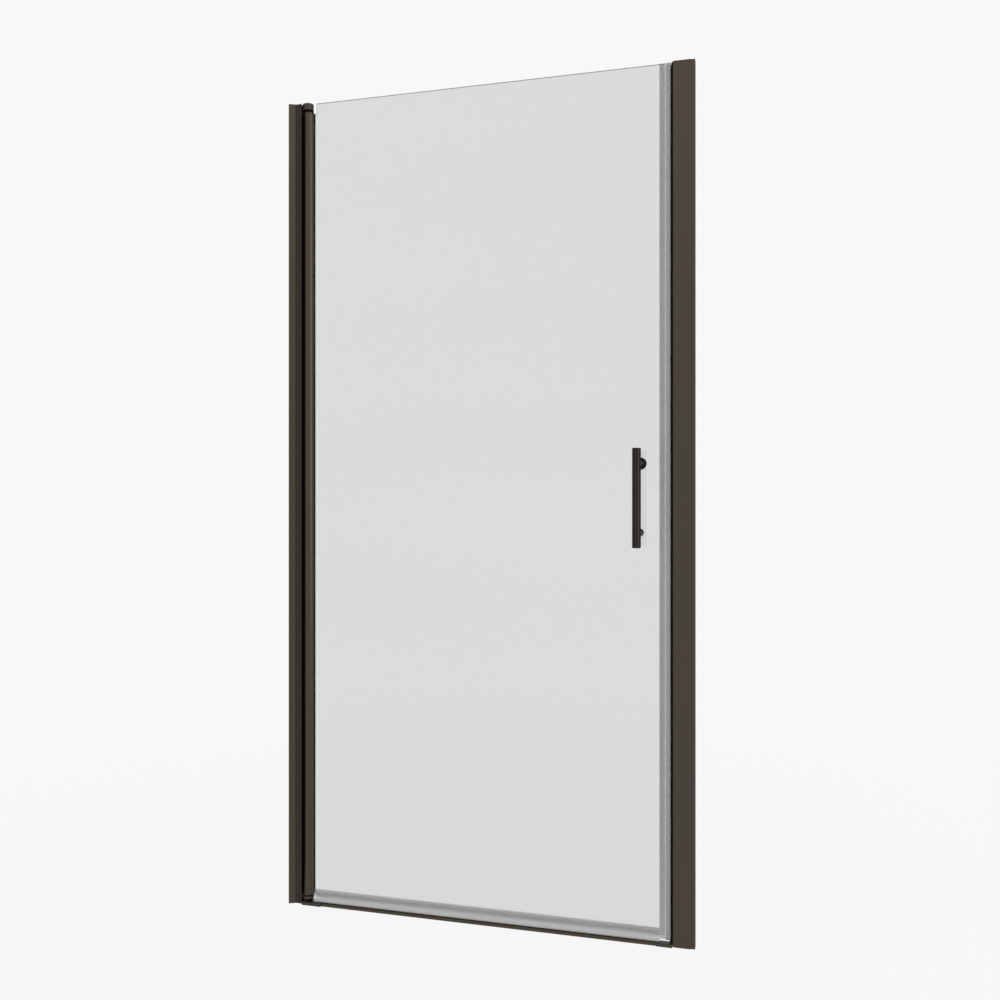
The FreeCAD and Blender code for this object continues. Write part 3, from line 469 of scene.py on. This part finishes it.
def anodised_bronze(name, along, colour):
    """Extruded aluminium, anodised dark bronze: a satin metal whose die lines run along the profile and
    whose colour drifts a little from bath to bath. Real die lines are 0.3 mm wide; here they are 1.5 mm,
    to show."""
    material, tree = new_finish(name)
    place = add_node(tree, "ShaderNodeTexCoord", {}).outputs["Object"]
    run = add_node(tree, "ShaderNodeMapping", {"Vector": place, "Scale": stretched(along, 1.5, 600)})
    lines = add_node(tree, "ShaderNodeTexNoise", {
        "Vector": run.outputs["Vector"], "Scale": 1.0, "Detail": 3.0})
    drift = add_node(tree, "ShaderNodeTexNoise", {"Vector": place, "Scale": per_mm(220), "Detail": 1.0})
    grain = add_node(tree, "ShaderNodeTexNoise", {"Vector": place, "Scale": per_mm(0.6), "Detail": 2.0})
    lined = add_node(tree, "ShaderNodeMix", {
        "Factor_Float": lines.outputs["Fac"], "A_Color": rgba(colour, 0.86), "B_Color": rgba(colour, 1.14),
    }, data_type="RGBA")
    tinted = add_node(tree, "ShaderNodeMix", {
        "Factor_Float": drift.outputs["Fac"], "A_Color": lined.outputs[2],
        "B_Color": rgba((colour[0] * 1.12, colour[1] * 1.06, colour[2] * 0.98)),
    }, data_type="RGBA")
    satin = add_node(tree, "ShaderNodeMapRange", {
        "Value": lines.outputs["Fac"], "From Min": 0.25, "From Max": 0.75, "To Min": 0.27, "To Max": 0.36})
    relief = add_node(tree, "ShaderNodeBump", {
        "Height": lines.outputs["Fac"], "Strength": 0.15, "Distance": 0.05 * MM})
    fine = add_node(tree, "ShaderNodeBump", {
        "Height": grain.outputs["Fac"], "Strength": 0.2, "Distance": 0.02 * MM,
        "Normal": relief.outputs["Normal"]})
    metal = add_node(tree, "ShaderNodeBsdfPrincipled", {
        "Base Color": tinted.outputs[2], "Metallic": 1.0, "Roughness": satin.outputs["Result"],
        "Specular Tint": DARK_RIM, "Normal": fine.outputs["Normal"]})
    add_node(tree, "ShaderNodeOutputMaterial", {"Surface": metal.outputs["BSDF"]})
    return material


def coated_casting(name, colour):
    """Die-cast zinc under a dark bronze coating: a little rougher than the profiles, with the faint orange
    peel of a sprayed coat, about 1.2 mm from crest to crest."""
    material, tree = new_finish(name)
    place = add_node(tree, "ShaderNodeTexCoord", {}).outputs["Object"]
    peel = add_node(tree, "ShaderNodeTexNoise", {"Vector": place, "Scale": per_mm(1.2), "Detail": 1.0})
    patches = add_node(tree, "ShaderNodeTexNoise", {"Vector": place, "Scale": per_mm(9), "Detail": 2.0})
    shade = add_node(tree, "ShaderNodeMix", {
        "Factor_Float": patches.outputs["Fac"], "A_Color": rgba(colour, 0.85), "B_Color": rgba(colour, 1.15),
    }, data_type="RGBA")
    sheen = add_node(tree, "ShaderNodeMapRange", {
        "Value": patches.outputs["Fac"], "From Min": 0.3, "From Max": 0.7, "To Min": 0.3, "To Max": 0.38})
    relief = add_node(tree, "ShaderNodeBump", {
        "Height": peel.outputs["Fac"], "Strength": 0.25, "Distance": 0.05 * MM})
    coat = add_node(tree, "ShaderNodeBsdfPrincipled", {
        "Base Color": shade.outputs[2], "Metallic": 0.55, "Roughness": sheen.outputs["Result"],
        "Specular Tint": DARK_RIM, "Normal": relief.outputs["Normal"]})
    add_node(tree, "ShaderNodeOutputMaterial", {"Surface": coat.outputs["BSDF"]})
    return material


def oil_rubbed_bronze(name, colour):
    """Turned metal, oil-rubbed almost to black: fine tool rings round the bar, 0.8 mm apart so that they
    show, and warmer where hands have rubbed it."""
    material, tree = new_finish(name)
    place = add_node(tree, "ShaderNodeTexCoord", {}).outputs["Object"]
    turn = add_node(tree, "ShaderNodeMapping", {
        "Vector": place, "Scale": (per_mm(60), per_mm(60), per_mm(0.8))})
    rings = add_node(tree, "ShaderNodeTexNoise", {
        "Vector": turn.outputs["Vector"], "Scale": 1.0, "Detail": 2.0})
    rubbed = add_node(tree, "ShaderNodeTexNoise", {"Vector": place, "Scale": per_mm(14), "Detail": 3.0})
    shade = add_node(tree, "ShaderNodeMix", {
        "Factor_Float": rubbed.outputs["Fac"], "A_Color": rgba(colour, 0.75),
        "B_Color": rgba((colour[0] * 1.25, colour[1] * 1.2, colour[2] * 1.15)),
    }, data_type="RGBA")
    gloss = add_node(tree, "ShaderNodeMapRange", {
        "Value": rubbed.outputs["Fac"], "From Min": 0.3, "From Max": 0.7, "To Min": 0.26, "To Max": 0.36})
    relief = add_node(tree, "ShaderNodeBump", {
        "Height": rings.outputs["Fac"], "Strength": 0.12, "Distance": 0.03 * MM})
    metal = add_node(tree, "ShaderNodeBsdfPrincipled", {
        "Base Color": shade.outputs[2], "Metallic": 1.0, "Roughness": gloss.outputs["Result"],
        "Specular Tint": DARK_RIM, "Normal": relief.outputs["Normal"]})
    add_node(tree, "ShaderNodeOutputMaterial", {"Surface": metal.outputs["BSDF"]})
    return material


def turned_stainless(name, colour):
    """Stainless bar, turned: bright, with tool rings 0.4 mm apart along the pin."""
    material, tree = new_finish(name)
    place = add_node(tree, "ShaderNodeTexCoord", {}).outputs["Object"]
    turn = add_node(tree, "ShaderNodeMapping", {
        "Vector": place, "Scale": (per_mm(30), per_mm(30), per_mm(0.4))})
    rings = add_node(tree, "ShaderNodeTexNoise", {
        "Vector": turn.outputs["Vector"], "Scale": 1.0, "Detail": 2.0})
    shade = add_node(tree, "ShaderNodeMix", {
        "Factor_Float": rings.outputs["Fac"], "A_Color": rgba(colour, 0.85), "B_Color": rgba(colour, 1.1),
    }, data_type="RGBA")
    relief = add_node(tree, "ShaderNodeBump", {
        "Height": rings.outputs["Fac"], "Strength": 0.2, "Distance": 0.03 * MM})
    metal = add_node(tree, "ShaderNodeBsdfPrincipled", {
        "Base Color": shade.outputs[2], "Metallic": 1.0, "Roughness": 0.3,
        "Normal": relief.outputs["Normal"]})
    add_node(tree, "ShaderNodeOutputMaterial", {"Surface": metal.outputs["BSDF"]})
    return material


def black_oxide_steel(name, colour):
    """Screw steel with a black oxide skin: dark, oily and mottled at about 0.7 mm."""
    material, tree = new_finish(name)
    place = add_node(tree, "ShaderNodeTexCoord", {}).outputs["Object"]
    mottle = add_node(tree, "ShaderNodeTexNoise", {"Vector": place, "Scale": per_mm(0.7), "Detail": 3.0})
    shade = add_node(tree, "ShaderNodeMix", {
        "Factor_Float": mottle.outputs["Fac"], "A_Color": rgba(colour, 0.7), "B_Color": rgba(colour, 1.4),
    }, data_type="RGBA")
    oily = add_node(tree, "ShaderNodeMapRange", {
        "Value": mottle.outputs["Fac"], "From Min": 0.3, "From Max": 0.7, "To Min": 0.28, "To Max": 0.44})
    metal = add_node(tree, "ShaderNodeBsdfPrincipled", {
        "Base Color": shade.outputs[2], "Metallic": 1.0, "Roughness": oily.outputs["Result"]})
    add_node(tree, "ShaderNodeOutputMaterial", {"Surface": metal.outputs["BSDF"]})
    return material


def moulded_nylon(name, colour):
    """Black nylon 6, injection moulded: low sheen over a spark-eroded texture of about 0.3 mm."""
    material, tree = new_finish(name)
    place = add_node(tree, "ShaderNodeTexCoord", {}).outputs["Object"]
    spark = add_node(tree, "ShaderNodeTexNoise", {"Vector": place, "Scale": per_mm(0.3), "Detail": 2.0})
    shade = add_node(tree, "ShaderNodeMix", {
        "Factor_Float": spark.outputs["Fac"], "A_Color": rgba(colour, 0.8), "B_Color": rgba(colour, 1.25),
    }, data_type="RGBA")
    relief = add_node(tree, "ShaderNodeBump", {
        "Height": spark.outputs["Fac"], "Strength": 0.3, "Distance": 0.03 * MM})
    plastic = add_node(tree, "ShaderNodeBsdfPrincipled", {
        "Base Color": shade.outputs[2], "Roughness": 0.6, "Specular IOR Level": 0.05,
        "Normal": relief.outputs["Normal"]})
    add_node(tree, "ShaderNodeOutputMaterial", {"Surface": plastic.outputs["BSDF"]})
    return material


def extruded_rubber(name, colour):
    """EPDM rubber, extruded: matte black with drag lines along the strip and a dusty bloom in patches."""
    material, tree = new_finish(name)
    place = add_node(tree, "ShaderNodeTexCoord", {}).outputs["Object"]
    run = add_node(tree, "ShaderNodeMapping", {"Vector": place, "Scale": stretched("Z", 0.5, 80)})
    drag = add_node(tree, "ShaderNodeTexNoise", {
        "Vector": run.outputs["Vector"], "Scale": 1.0, "Detail": 2.0})
    bloom = add_node(tree, "ShaderNodeTexNoise", {"Vector": place, "Scale": per_mm(25), "Detail": 3.0})
    shade = add_node(tree, "ShaderNodeMix", {
        "Factor_Float": bloom.outputs["Fac"], "A_Color": rgba(colour, 0.8), "B_Color": rgba(colour, 1.5),
    }, data_type="RGBA")
    relief = add_node(tree, "ShaderNodeBump", {
        "Height": drag.outputs["Fac"], "Strength": 0.3, "Distance": 0.05 * MM})
    rubber = add_node(tree, "ShaderNodeBsdfPrincipled", {
        "Base Color": shade.outputs[2], "Roughness": 0.85, "Specular IOR Level": 0.1,
        "Normal": relief.outputs["Normal"]})
    add_node(tree, "ShaderNodeOutputMaterial", {"Surface": rubber.outputs["BSDF"]})
    return material


def ferrite_strip(name, colour):
    """Flexible magnet, ferrite powder in a binder: a dull strip with fine powder grain of 0.4 mm."""
    material, tree = new_finish(name)
    place = add_node(tree, "ShaderNodeTexCoord", {}).outputs["Object"]
    powder = add_node(tree, "ShaderNodeTexNoise", {"Vector": place, "Scale": per_mm(0.4), "Detail": 2.0})
    shade = add_node(tree, "ShaderNodeMix", {
        "Factor_Float": powder.outputs["Fac"], "A_Color": rgba(colour, 0.8), "B_Color": rgba(colour, 1.2),
    }, data_type="RGBA")
    strip = add_node(tree, "ShaderNodeBsdfPrincipled", {
        "Base Color": shade.outputs[2], "Roughness": 0.75, "Specular IOR Level": 0.05})
    add_node(tree, "ShaderNodeOutputMaterial", {"Surface": strip.outputs["BSDF"]})
    return material


def clear_vinyl(name, along, colour, milk, lip_top=0.0):
    """Clear PVC, extruded: glossy, a little milky, with draw lines along the seal that thicken the
    milkiness, and whiter in a soft lip below a height. The draw lines are 1.2 mm wide, about twice the real
    ones, to show."""
    material, tree = new_finish(name)
    place = add_node(tree, "ShaderNodeTexCoord", {}).outputs["Object"]
    run = add_node(tree, "ShaderNodeMapping", {"Vector": place, "Scale": stretched(along, 1.2, 350)})
    lines = add_node(tree, "ShaderNodeTexNoise", {
        "Vector": run.outputs["Vector"], "Scale": 1.0, "Detail": 2.0})
    shade = add_node(tree, "ShaderNodeMix", {
        "Factor_Float": lines.outputs["Fac"], "A_Color": rgba(colour, 0.92), "B_Color": rgba(colour, 1.08),
    }, data_type="RGBA")
    body = add_node(tree, "ShaderNodeMapRange", {
        "Value": lines.outputs["Fac"], "From Min": 0.3, "From Max": 0.7,
        "To Min": 0.8 * milk, "To Max": 1.2 * milk})
    height = add_node(tree, "ShaderNodeSeparateXYZ", {"Vector": place})
    lip = add_node(tree, "ShaderNodeMapRange", {
        "Value": height.outputs["Z"], "From Min": lip_top - LIP_FADE, "From Max": lip_top,
        "To Min": 1.0, "To Max": 0.0})
    white = add_node(tree, "ShaderNodeMix", {
        "Factor_Float": lip.outputs["Result"], "A_Color": shade.outputs[2], "B_Color": rgba(colour, 1.7),
    }, data_type="RGBA")
    cloud = add_node(tree, "ShaderNodeMath", {
        "Value": lip.outputs["Result"], "Value_001": LIP_MILK, "Value_002": body.outputs["Result"]},
        operation="MULTIPLY_ADD")
    relief = add_node(tree, "ShaderNodeBump", {
        "Height": lines.outputs["Fac"], "Strength": 0.2, "Distance": 0.08 * MM})
    soft = add_node(tree, "ShaderNodeBsdfPrincipled", {
        "Base Color": white.outputs[2], "Roughness": 0.16, "IOR": 1.53, "Alpha": cloud.outputs["Value"],
        "Normal": relief.outputs["Normal"]})
    add_node(tree, "ShaderNodeOutputMaterial", {"Surface": soft.outputs["BSDF"]})
    return material


def tempered_glass(name, colour, edge_colour):
    """Float glass, tempered: clear with a trace of grey-green, darker at the bare top edge, and with a
    roller wave of about 250 mm that makes its reflections swim a little."""
    material, tree = new_finish(name)
    coords = add_node(tree, "ShaderNodeTexCoord", {})
    place = coords.outputs["Object"]
    rollers = add_node(tree, "ShaderNodeMapping", {"Vector": place, "Scale": stretched("X", 250, 900)})
    wave = add_node(tree, "ShaderNodeTexNoise", {
        "Vector": rollers.outputs["Vector"], "Scale": 1.0, "Detail": 0.0})
    shade = add_node(tree, "ShaderNodeMix", {
        "Factor_Float": wave.outputs["Fac"], "A_Color": rgba(colour, 0.99), "B_Color": rgba(colour, 1.01),
    }, data_type="RGBA")
    # Seen from within the glass a face's normal turns round, so only its slope counts. The height leaves out
    # the bottom edge, which the seal hides.
    facing = add_node(tree, "ShaderNodeSeparateXYZ", {"Vector": coords.outputs["Normal"]})
    slope = add_node(tree, "ShaderNodeMath", {"Value": facing.outputs["Z"]}, operation="ABSOLUTE")
    height = add_node(tree, "ShaderNodeSeparateXYZ", {"Vector": place})
    raised = add_node(tree, "ShaderNodeMath", {
        "Value": slope.outputs["Value"], "Value_001": height.outputs["Z"]}, operation="MULTIPLY")
    rim = add_node(tree, "ShaderNodeMath", {
        "Value": raised.outputs["Value"], "Value_001": RIM_HEIGHT}, operation="GREATER_THAN")
    tint = add_node(tree, "ShaderNodeMix", {
        "Factor_Float": rim.outputs["Value"], "A_Color": shade.outputs[2], "B_Color": rgba(edge_colour),
    }, data_type="RGBA")
    clear = add_node(tree, "ShaderNodeMapRange", {
        "Value": rim.outputs["Value"], "To Min": 1.0, "To Max": 0.4})
    relief = add_node(tree, "ShaderNodeBump", {
        "Height": wave.outputs["Fac"], "Strength": 0.1, "Distance": 0.3 * MM})
    glass = add_node(tree, "ShaderNodeBsdfPrincipled", {
        "Base Color": tint.outputs[2], "Roughness": 0.0, "IOR": 1.52,
        "Transmission Weight": clear.outputs["Result"], "Normal": relief.outputs["Normal"]})
    add_node(tree, "ShaderNodeOutputMaterial", {"Surface": glass.outputs["BSDF"]})
    return material


class SHOWERDOOR_OT_profiles(bpy.types.Operator):
    """Finish the jambs, wall channels, sill and stile as anodised extrusions with eased edges"""

    bl_idname = "shower_door.profiles"
    bl_label = "Aluminium profiles"

    def execute(self, context):
        finishes = context.scene.shower_door_finishes
        radius = context.scene.shower_door_sizes.profile_edge
        upright = anodised_bronze("anodised_bronze_upright", "Z", finishes.bronze)
        # The hinge jamb is painted a darker bronze than the other profiles.
        darker = anodised_bronze("anodised_bronze_hinge_jamb", "Z", finishes.hinge_bronze)
        level = anodised_bronze("anodised_bronze_level", "X", finishes.bronze)
        for node, material in (
            ("hinge_wall_channel", upright),
            ("hinge_jamb", darker),
            ("strike_wall_channel", upright),
            ("strike_jamb", upright),
            ("hinge_stile", upright),
            ("sill_rail", level),
        ):
            softened(node, node + "_profile", radius, material)
        return {"FINISHED"}


class SHOWERDOOR_OT_castings(bpy.types.Operator):
    """Finish the pivot block, foot, collar and end block as coated castings with rounded edges"""

    bl_idname = "shower_door.castings"
    bl_label = "Pivot castings"

    def execute(self, context):
        coating = coated_casting("bronze_coated_zinc", context.scene.shower_door_finishes.casting)
        radius = context.scene.shower_door_sizes.casting_edge
        for node in ("upper_pivot_block", "lower_pivot_foot", "lower_pivot_collar", "sill_end_block"):
            softened(node, node + "_casting", radius, coating, segments=3)
        return {"FINISHED"}


class SHOWERDOOR_OT_handle(bpy.types.Operator):
    """Make the pull bar and its posts, the turned knob and the domed cap"""

    bl_idname = "shower_door.handle"
    bl_label = "Handle"

    def execute(self, context):
        bronze = oil_rubbed_bronze("oil_rubbed_bronze", context.scene.shower_door_finishes.handle)
        radius = context.scene.shower_door_sizes.bar_edge
        softened("handle_bar", "handle_pull_bar", radius, bronze, segments=4)
        softened("handle_posts", "handle_standoffs", radius, bronze)

        # The stations are shares of each part's length and radius. The knob has a foot ring, a neck and an
        # oval head, the cap an eased foot and a dome.
        base, reach, half = lathe_seat("inner_knob")
        neck = [(0, 0.64 * half), (0.03 * reach, 0.66 * half), (0.08 * reach, 0.66 * half),
                (0.12 * reach, 0.56 * half), (0.24 * reach, 0.52 * half)]
        head = bowl(0.61 * reach, 0.39 * reach, half, start=-56, end=84, steps=18)
        knob = turned(neck + head, base)
        settle(knob, "inner_turned_knob", "inner_knob", bronze)

        base, reach, half = lathe_seat("inner_cap")
        foot = [(0, 0.96 * half), (0.03 * reach, half)]
        dome = bowl(0.4 * reach, 0.6 * reach, half, start=0, end=84, steps=12)
        cap = turned(foot + dome, base)
        settle(cap, "inner_domed_cap", "inner_cap", bronze)
        return {"FINISHED"}


class SHOWERDOOR_OT_fasteners(bpy.types.Operator):
    """Make the pan-head screws, the set screw and the pivot nut"""

    bl_idname = "shower_door.fasteners"
    bl_label = "Screws and nut"

    def execute(self, context):
        sizes = context.scene.shower_door_sizes
        steel = black_oxide_steel("black_oxide_steel", context.scene.shower_door_finishes.screws)
        for node, count in (("hinge_lock_screws", 3), ("strike_lock_screws", 3), ("pivot_tang_screws", 2)):
            low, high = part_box(node)
            head_radius = (high.x - low.x) / 2
            seat = high.y - sizes.head_height
            screw = pan_screw(head_radius, seat - low.y, sizes)
            middle_x = (low.x + high.x) / 2
            first, last = low.z + head_radius, high.z - head_radius
            heights = [first + (last - first) * i / (count - 1) for i in range(count)]
            row = set_out(screw, [(middle_x, seat, z) for z in heights])
            settle(row, node.replace("screws", "pan_screws"), node, steel)

        grub = grub_screw(*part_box("collar_set_screw"), sizes)
        settle(grub, "collar_grub_screw", "collar_set_screw", steel)

        softened("lower_pivot_nut", "lower_pivot_hex_nut", sizes.nut_edge, steel)
        return {"FINISHED"}


class SHOWERDOOR_OT_pivot_parts(bpy.types.Operator):
    """Finish the pins, studs, bushings and the thrust washer"""

    bl_idname = "shower_door.pivot_parts"
    bl_label = "Pins and bushings"

    def execute(self, context):
        finishes = context.scene.shower_door_finishes
        paint(turned_stainless("turned_stainless", finishes.steel),
              "upper_pivot_pin", "lower_pivot_pin", "handle_studs")
        paint(moulded_nylon("moulded_black_nylon", finishes.nylon),
              "upper_pivot_bushing", "lower_pivot_bushing", "lower_thrust_washer")
        return {"FINISHED"}


class SHOWERDOOR_OT_seals(bpy.types.Operator):
    """Finish the rubber strips, the clear seals, the washers and the magnets"""

    bl_idname = "shower_door.seals"
    bl_label = "Seals and magnets"

    def execute(self, context):
        finishes = context.scene.shower_door_finishes
        paint(extruded_rubber("extruded_black_rubber", finishes.rubber),
              "hinge_jamb_seal", "stile_glazing_gasket")
        # The jamb magnet's near-black colour is partly painted shade for the gap beside the strike seal.
        paint(ferrite_strip("ferrite_jamb_magnet", finishes.jamb_magnet), "strike_magnet_strip")
        paint(ferrite_strip("ferrite_door_magnet", finishes.door_magnet), "door_magnet")
        paint(clear_vinyl("clear_vinyl_upright", "Z", finishes.vinyl, milk=0.28), "strike_seal")
        paint(clear_vinyl("clear_vinyl_level", "X", finishes.vinyl, milk=0.22, lip_top=28 * MM),
              "bottom_seal")
        paint(clear_vinyl("clear_vinyl_washer", "Y", finishes.vinyl, milk=0.06),
              "handle_sleeve_washers", "handle_back_washers")
        return {"FINISHED"}


class SHOWERDOOR_OT_glass(bpy.types.Operator):
    """Finish the leaf as clear tempered glass"""

    bl_idname = "shower_door.glass"
    bl_label = "Glass"

    def execute(self, context):
        finishes = context.scene.shower_door_finishes
        paint(tempered_glass("tempered_glass", finishes.glass, finishes.glass_edge), "glass_panel")
        return {"FINISHED"}


def softbox(name, place, aim, width, height, power):
    """A rectangular studio lamp at a place, turned to a point. It isn't seen itself, even through glass."""
    turn = (Vector(aim) - Vector(place)).to_track_quat("-Z", "Y").to_euler()
    bpy.ops.object.light_add(type="AREA", location=place, rotation=turn)
    lamp = bpy.context.object
    lamp.name = name
    lamp.data.shape = "RECTANGLE"
    lamp.data.size = width
    lamp.data.size_y = height
    lamp.data.energy = power
    lamp.visible_camera = False
    lamp.visible_transmission = False


def seen_directly(tree):
    """A socket that is 1 for rays from the camera, from gloss and through glass, and 0 for the rest."""
    path = add_node(tree, "ShaderNodeLightPath", {})
    mirrored = add_node(tree, "ShaderNodeMath", {
        "Value": path.outputs["Is Camera Ray"], "Value_001": path.outputs["Is Glossy Ray"]},
        operation="MAXIMUM")
    through = add_node(tree, "ShaderNodeMath", {
        "Value": mirrored.outputs["Value"], "Value_001": path.outputs["Is Transmission Ray"]},
        operation="MAXIMUM")
    return through.outputs["Value"]


def lay_floor(stage):
    """A pale floor that keeps the door's shadow and goes over into the background without a horizon."""
    bpy.ops.mesh.primitive_circle_add(vertices=FLOOR_SIDES, radius=FLOOR_RADIUS, fill_type="NGON",
                                      location=(0, 0, -FLOOR_DROP))
    floor = bpy.context.object
    floor.name = "studio_floor"
    material, tree = new_finish("pale_studio_floor")
    place = add_node(tree, "ShaderNodeTexCoord", {}).outputs["Object"]
    reach = add_node(tree, "ShaderNodeVectorMath", {"Vector": place}, operation="LENGTH")
    fade = add_node(tree, "ShaderNodeMapRange", {
        "Value": reach.outputs["Value"], "From Min": SHADOW_NEAR, "From Max": SHADOW_FAR,
        "To Min": 0.95, "To Max": 1.0}, interpolation_type="SMOOTHSTEP")
    share = add_node(tree, "ShaderNodeMath", {
        "Value": seen_directly(tree), "Value_001": fade.outputs["Result"]}, operation="MULTIPLY")
    lit = add_node(tree, "ShaderNodeBsdfDiffuse", {"Color": rgba(stage.floor)})
    plain = add_node(tree, "ShaderNodeEmission", {"Color": rgba(stage.background), "Strength": 1.0})
    mixed = add_node(tree, "ShaderNodeMixShader", {
        "Fac": share.outputs["Value"], "Shader": lit.outputs["BSDF"],
        "Shader_001": plain.outputs["Emission"]})
    add_node(tree, "ShaderNodeOutputMaterial", {"Surface": mixed.outputs["Shader"]})
    floor.data.materials.append(material)


def light_surround(scene, stage):
    """Even light from all round, behind a plain background."""
    world = bpy.data.worlds.new("studio")
    world.use_nodes = True
    tree = world.node_tree
    tree.nodes.clear()
    light = add_node(tree, "ShaderNodeBackground", {"Color": (1, 1, 1, 1), "Strength": stage.fill})
    plain = add_node(tree, "ShaderNodeBackground", {"Color": rgba(stage.background), "Strength": 1.0})
    mixed = add_node(tree, "ShaderNodeMixShader", {
        "Fac": seen_directly(tree), "Shader": light.outputs["Background"],
        "Shader_001": plain.outputs["Background"]})
    add_node(tree, "ShaderNodeOutputWorld", {"Surface": mixed.outputs["Shader"]})
    scene.world = world


def stand_card(stage):
    """A strip of black card beside the hinge jamb, which gives the round stile its dark side. Only blurred
    gloss shows it, so the glass doesn't mirror it."""
    bpy.ops.mesh.primitive_plane_add(size=1, location=CARD_PLACE, rotation=FACING_X)
    card = bpy.context.object
    card.name = "black_card"
    card.scale = (CARD_HEIGHT, CARD_WIDTH, 1)
    material, tree = new_finish("black_card")
    path = add_node(tree, "ShaderNodeLightPath", {})
    blurred = add_node(tree, "ShaderNodeMath", {
        "Value": path.outputs["Is Glossy Ray"], "Value_001": path.outputs["Is Singular Ray"]},
        operation="SUBTRACT", use_clamp=True)
    unseen = add_node(tree, "ShaderNodeBsdfTransparent", {})
    black = add_node(tree, "ShaderNodeBsdfDiffuse", {"Color": rgba(stage.card)})
    mixed = add_node(tree, "ShaderNodeMixShader", {
        "Fac": blurred.outputs["Value"], "Shader": unseen.outputs["BSDF"],
        "Shader_001": black.outputs["BSDF"]})
    add_node(tree, "ShaderNodeOutputMaterial", {"Surface": mixed.outputs["Shader"]})
    card.data.materials.append(material)


def set_camera(scene):
    """The camera at the photograph's viewing angle."""
    bpy.ops.object.camera_add(location=CAMERA_PLACE, rotation=(math.pi / 2, 0, CAMERA_TURN))
    camera = bpy.context.object
    camera.name = "photo_camera"
    camera.data.sensor_width = CAMERA_SENSOR
    camera.data.lens = CAMERA_LENS
    camera.data.clip_end = CAMERA_REACH
    scene.camera = camera


class SHOWERDOOR_OT_stage(bpy.types.Operator):
    """Set the floor, the background, the black card, the softboxes and the camera"""

    bl_idname = "shower_door.stage"
    bl_label = "Stage"

    def execute(self, context):
        stage = context.scene.shower_door_stage
        lay_floor(stage)
        light_surround(context.scene, stage)
        stand_card(stage)
        softbox("front_softbox", place=(1.0, -3.4, 3.4), aim=(0, 0, 0.9), width=2.0, height=1.4,
                power=stage.front_power)
        softbox("right_softbox", place=(3.2, -1.3, 2.1), aim=(-0.4, 0, 2.1), width=0.6, height=3.6,
                power=stage.right_power)
        set_camera(context.scene)
        context.scene.view_settings.view_transform = "Standard"
        return {"FINISHED"}


class SHOWERDOOR_PT_sidebar(bpy.types.Panel):
    """The door's finishes, the sizes of its details, its stage and its pieces"""

    bl_idname = "SHOWERDOOR_PT_sidebar"
    bl_label = "Shower door"
    bl_space_type = "VIEW_3D"
    bl_region_type = "UI"
    bl_category = "Shower door"

    def draw(self, context):
        for group in (context.scene.shower_door_finishes, context.scene.shower_door_sizes,
                      context.scene.shower_door_stage):
            box = self.layout.box()
            for name in group.__annotations__:
                box.prop(group, name)
        for operator in OPERATORS:
            self.layout.operator(operator.bl_idname)


OPERATORS = (
    SHOWERDOOR_OT_profiles,
    SHOWERDOOR_OT_castings,
    SHOWERDOOR_OT_handle,
    SHOWERDOOR_OT_fasteners,
    SHOWERDOOR_OT_pivot_parts,
    SHOWERDOOR_OT_seals,
    SHOWERDOOR_OT_glass,
    SHOWERDOOR_OT_stage,
)
CLASSES = (ShowerDoorFinishes, ShowerDoorSizes, ShowerDoorStage, *OPERATORS, SHOWERDOOR_PT_sidebar)


def register():
    for cls in CLASSES:
        bpy.utils.register_class(cls)
    bpy.types.Scene.shower_door_finishes = bpy.props.PointerProperty(type=ShowerDoorFinishes)
    bpy.types.Scene.shower_door_sizes = bpy.props.PointerProperty(type=ShowerDoorSizes)
    bpy.types.Scene.shower_door_stage = bpy.props.PointerProperty(type=ShowerDoorStage)


def unregister():
    del bpy.types.Scene.shower_door_stage
    del bpy.types.Scene.shower_door_sizes
    del bpy.types.Scene.shower_door_finishes
    for cls in reversed(CLASSES):
        bpy.utils.unregister_class(cls)


def main():
    register()
    bpy.ops.shower_door.profiles()
    bpy.ops.shower_door.castings()
    bpy.ops.shower_door.handle()
    bpy.ops.shower_door.fasteners()
    bpy.ops.shower_door.pivot_parts()
    bpy.ops.shower_door.seals()
    bpy.ops.shower_door.glass()
    bpy.ops.shower_door.stage()


if __name__ == "__main__":
    main()
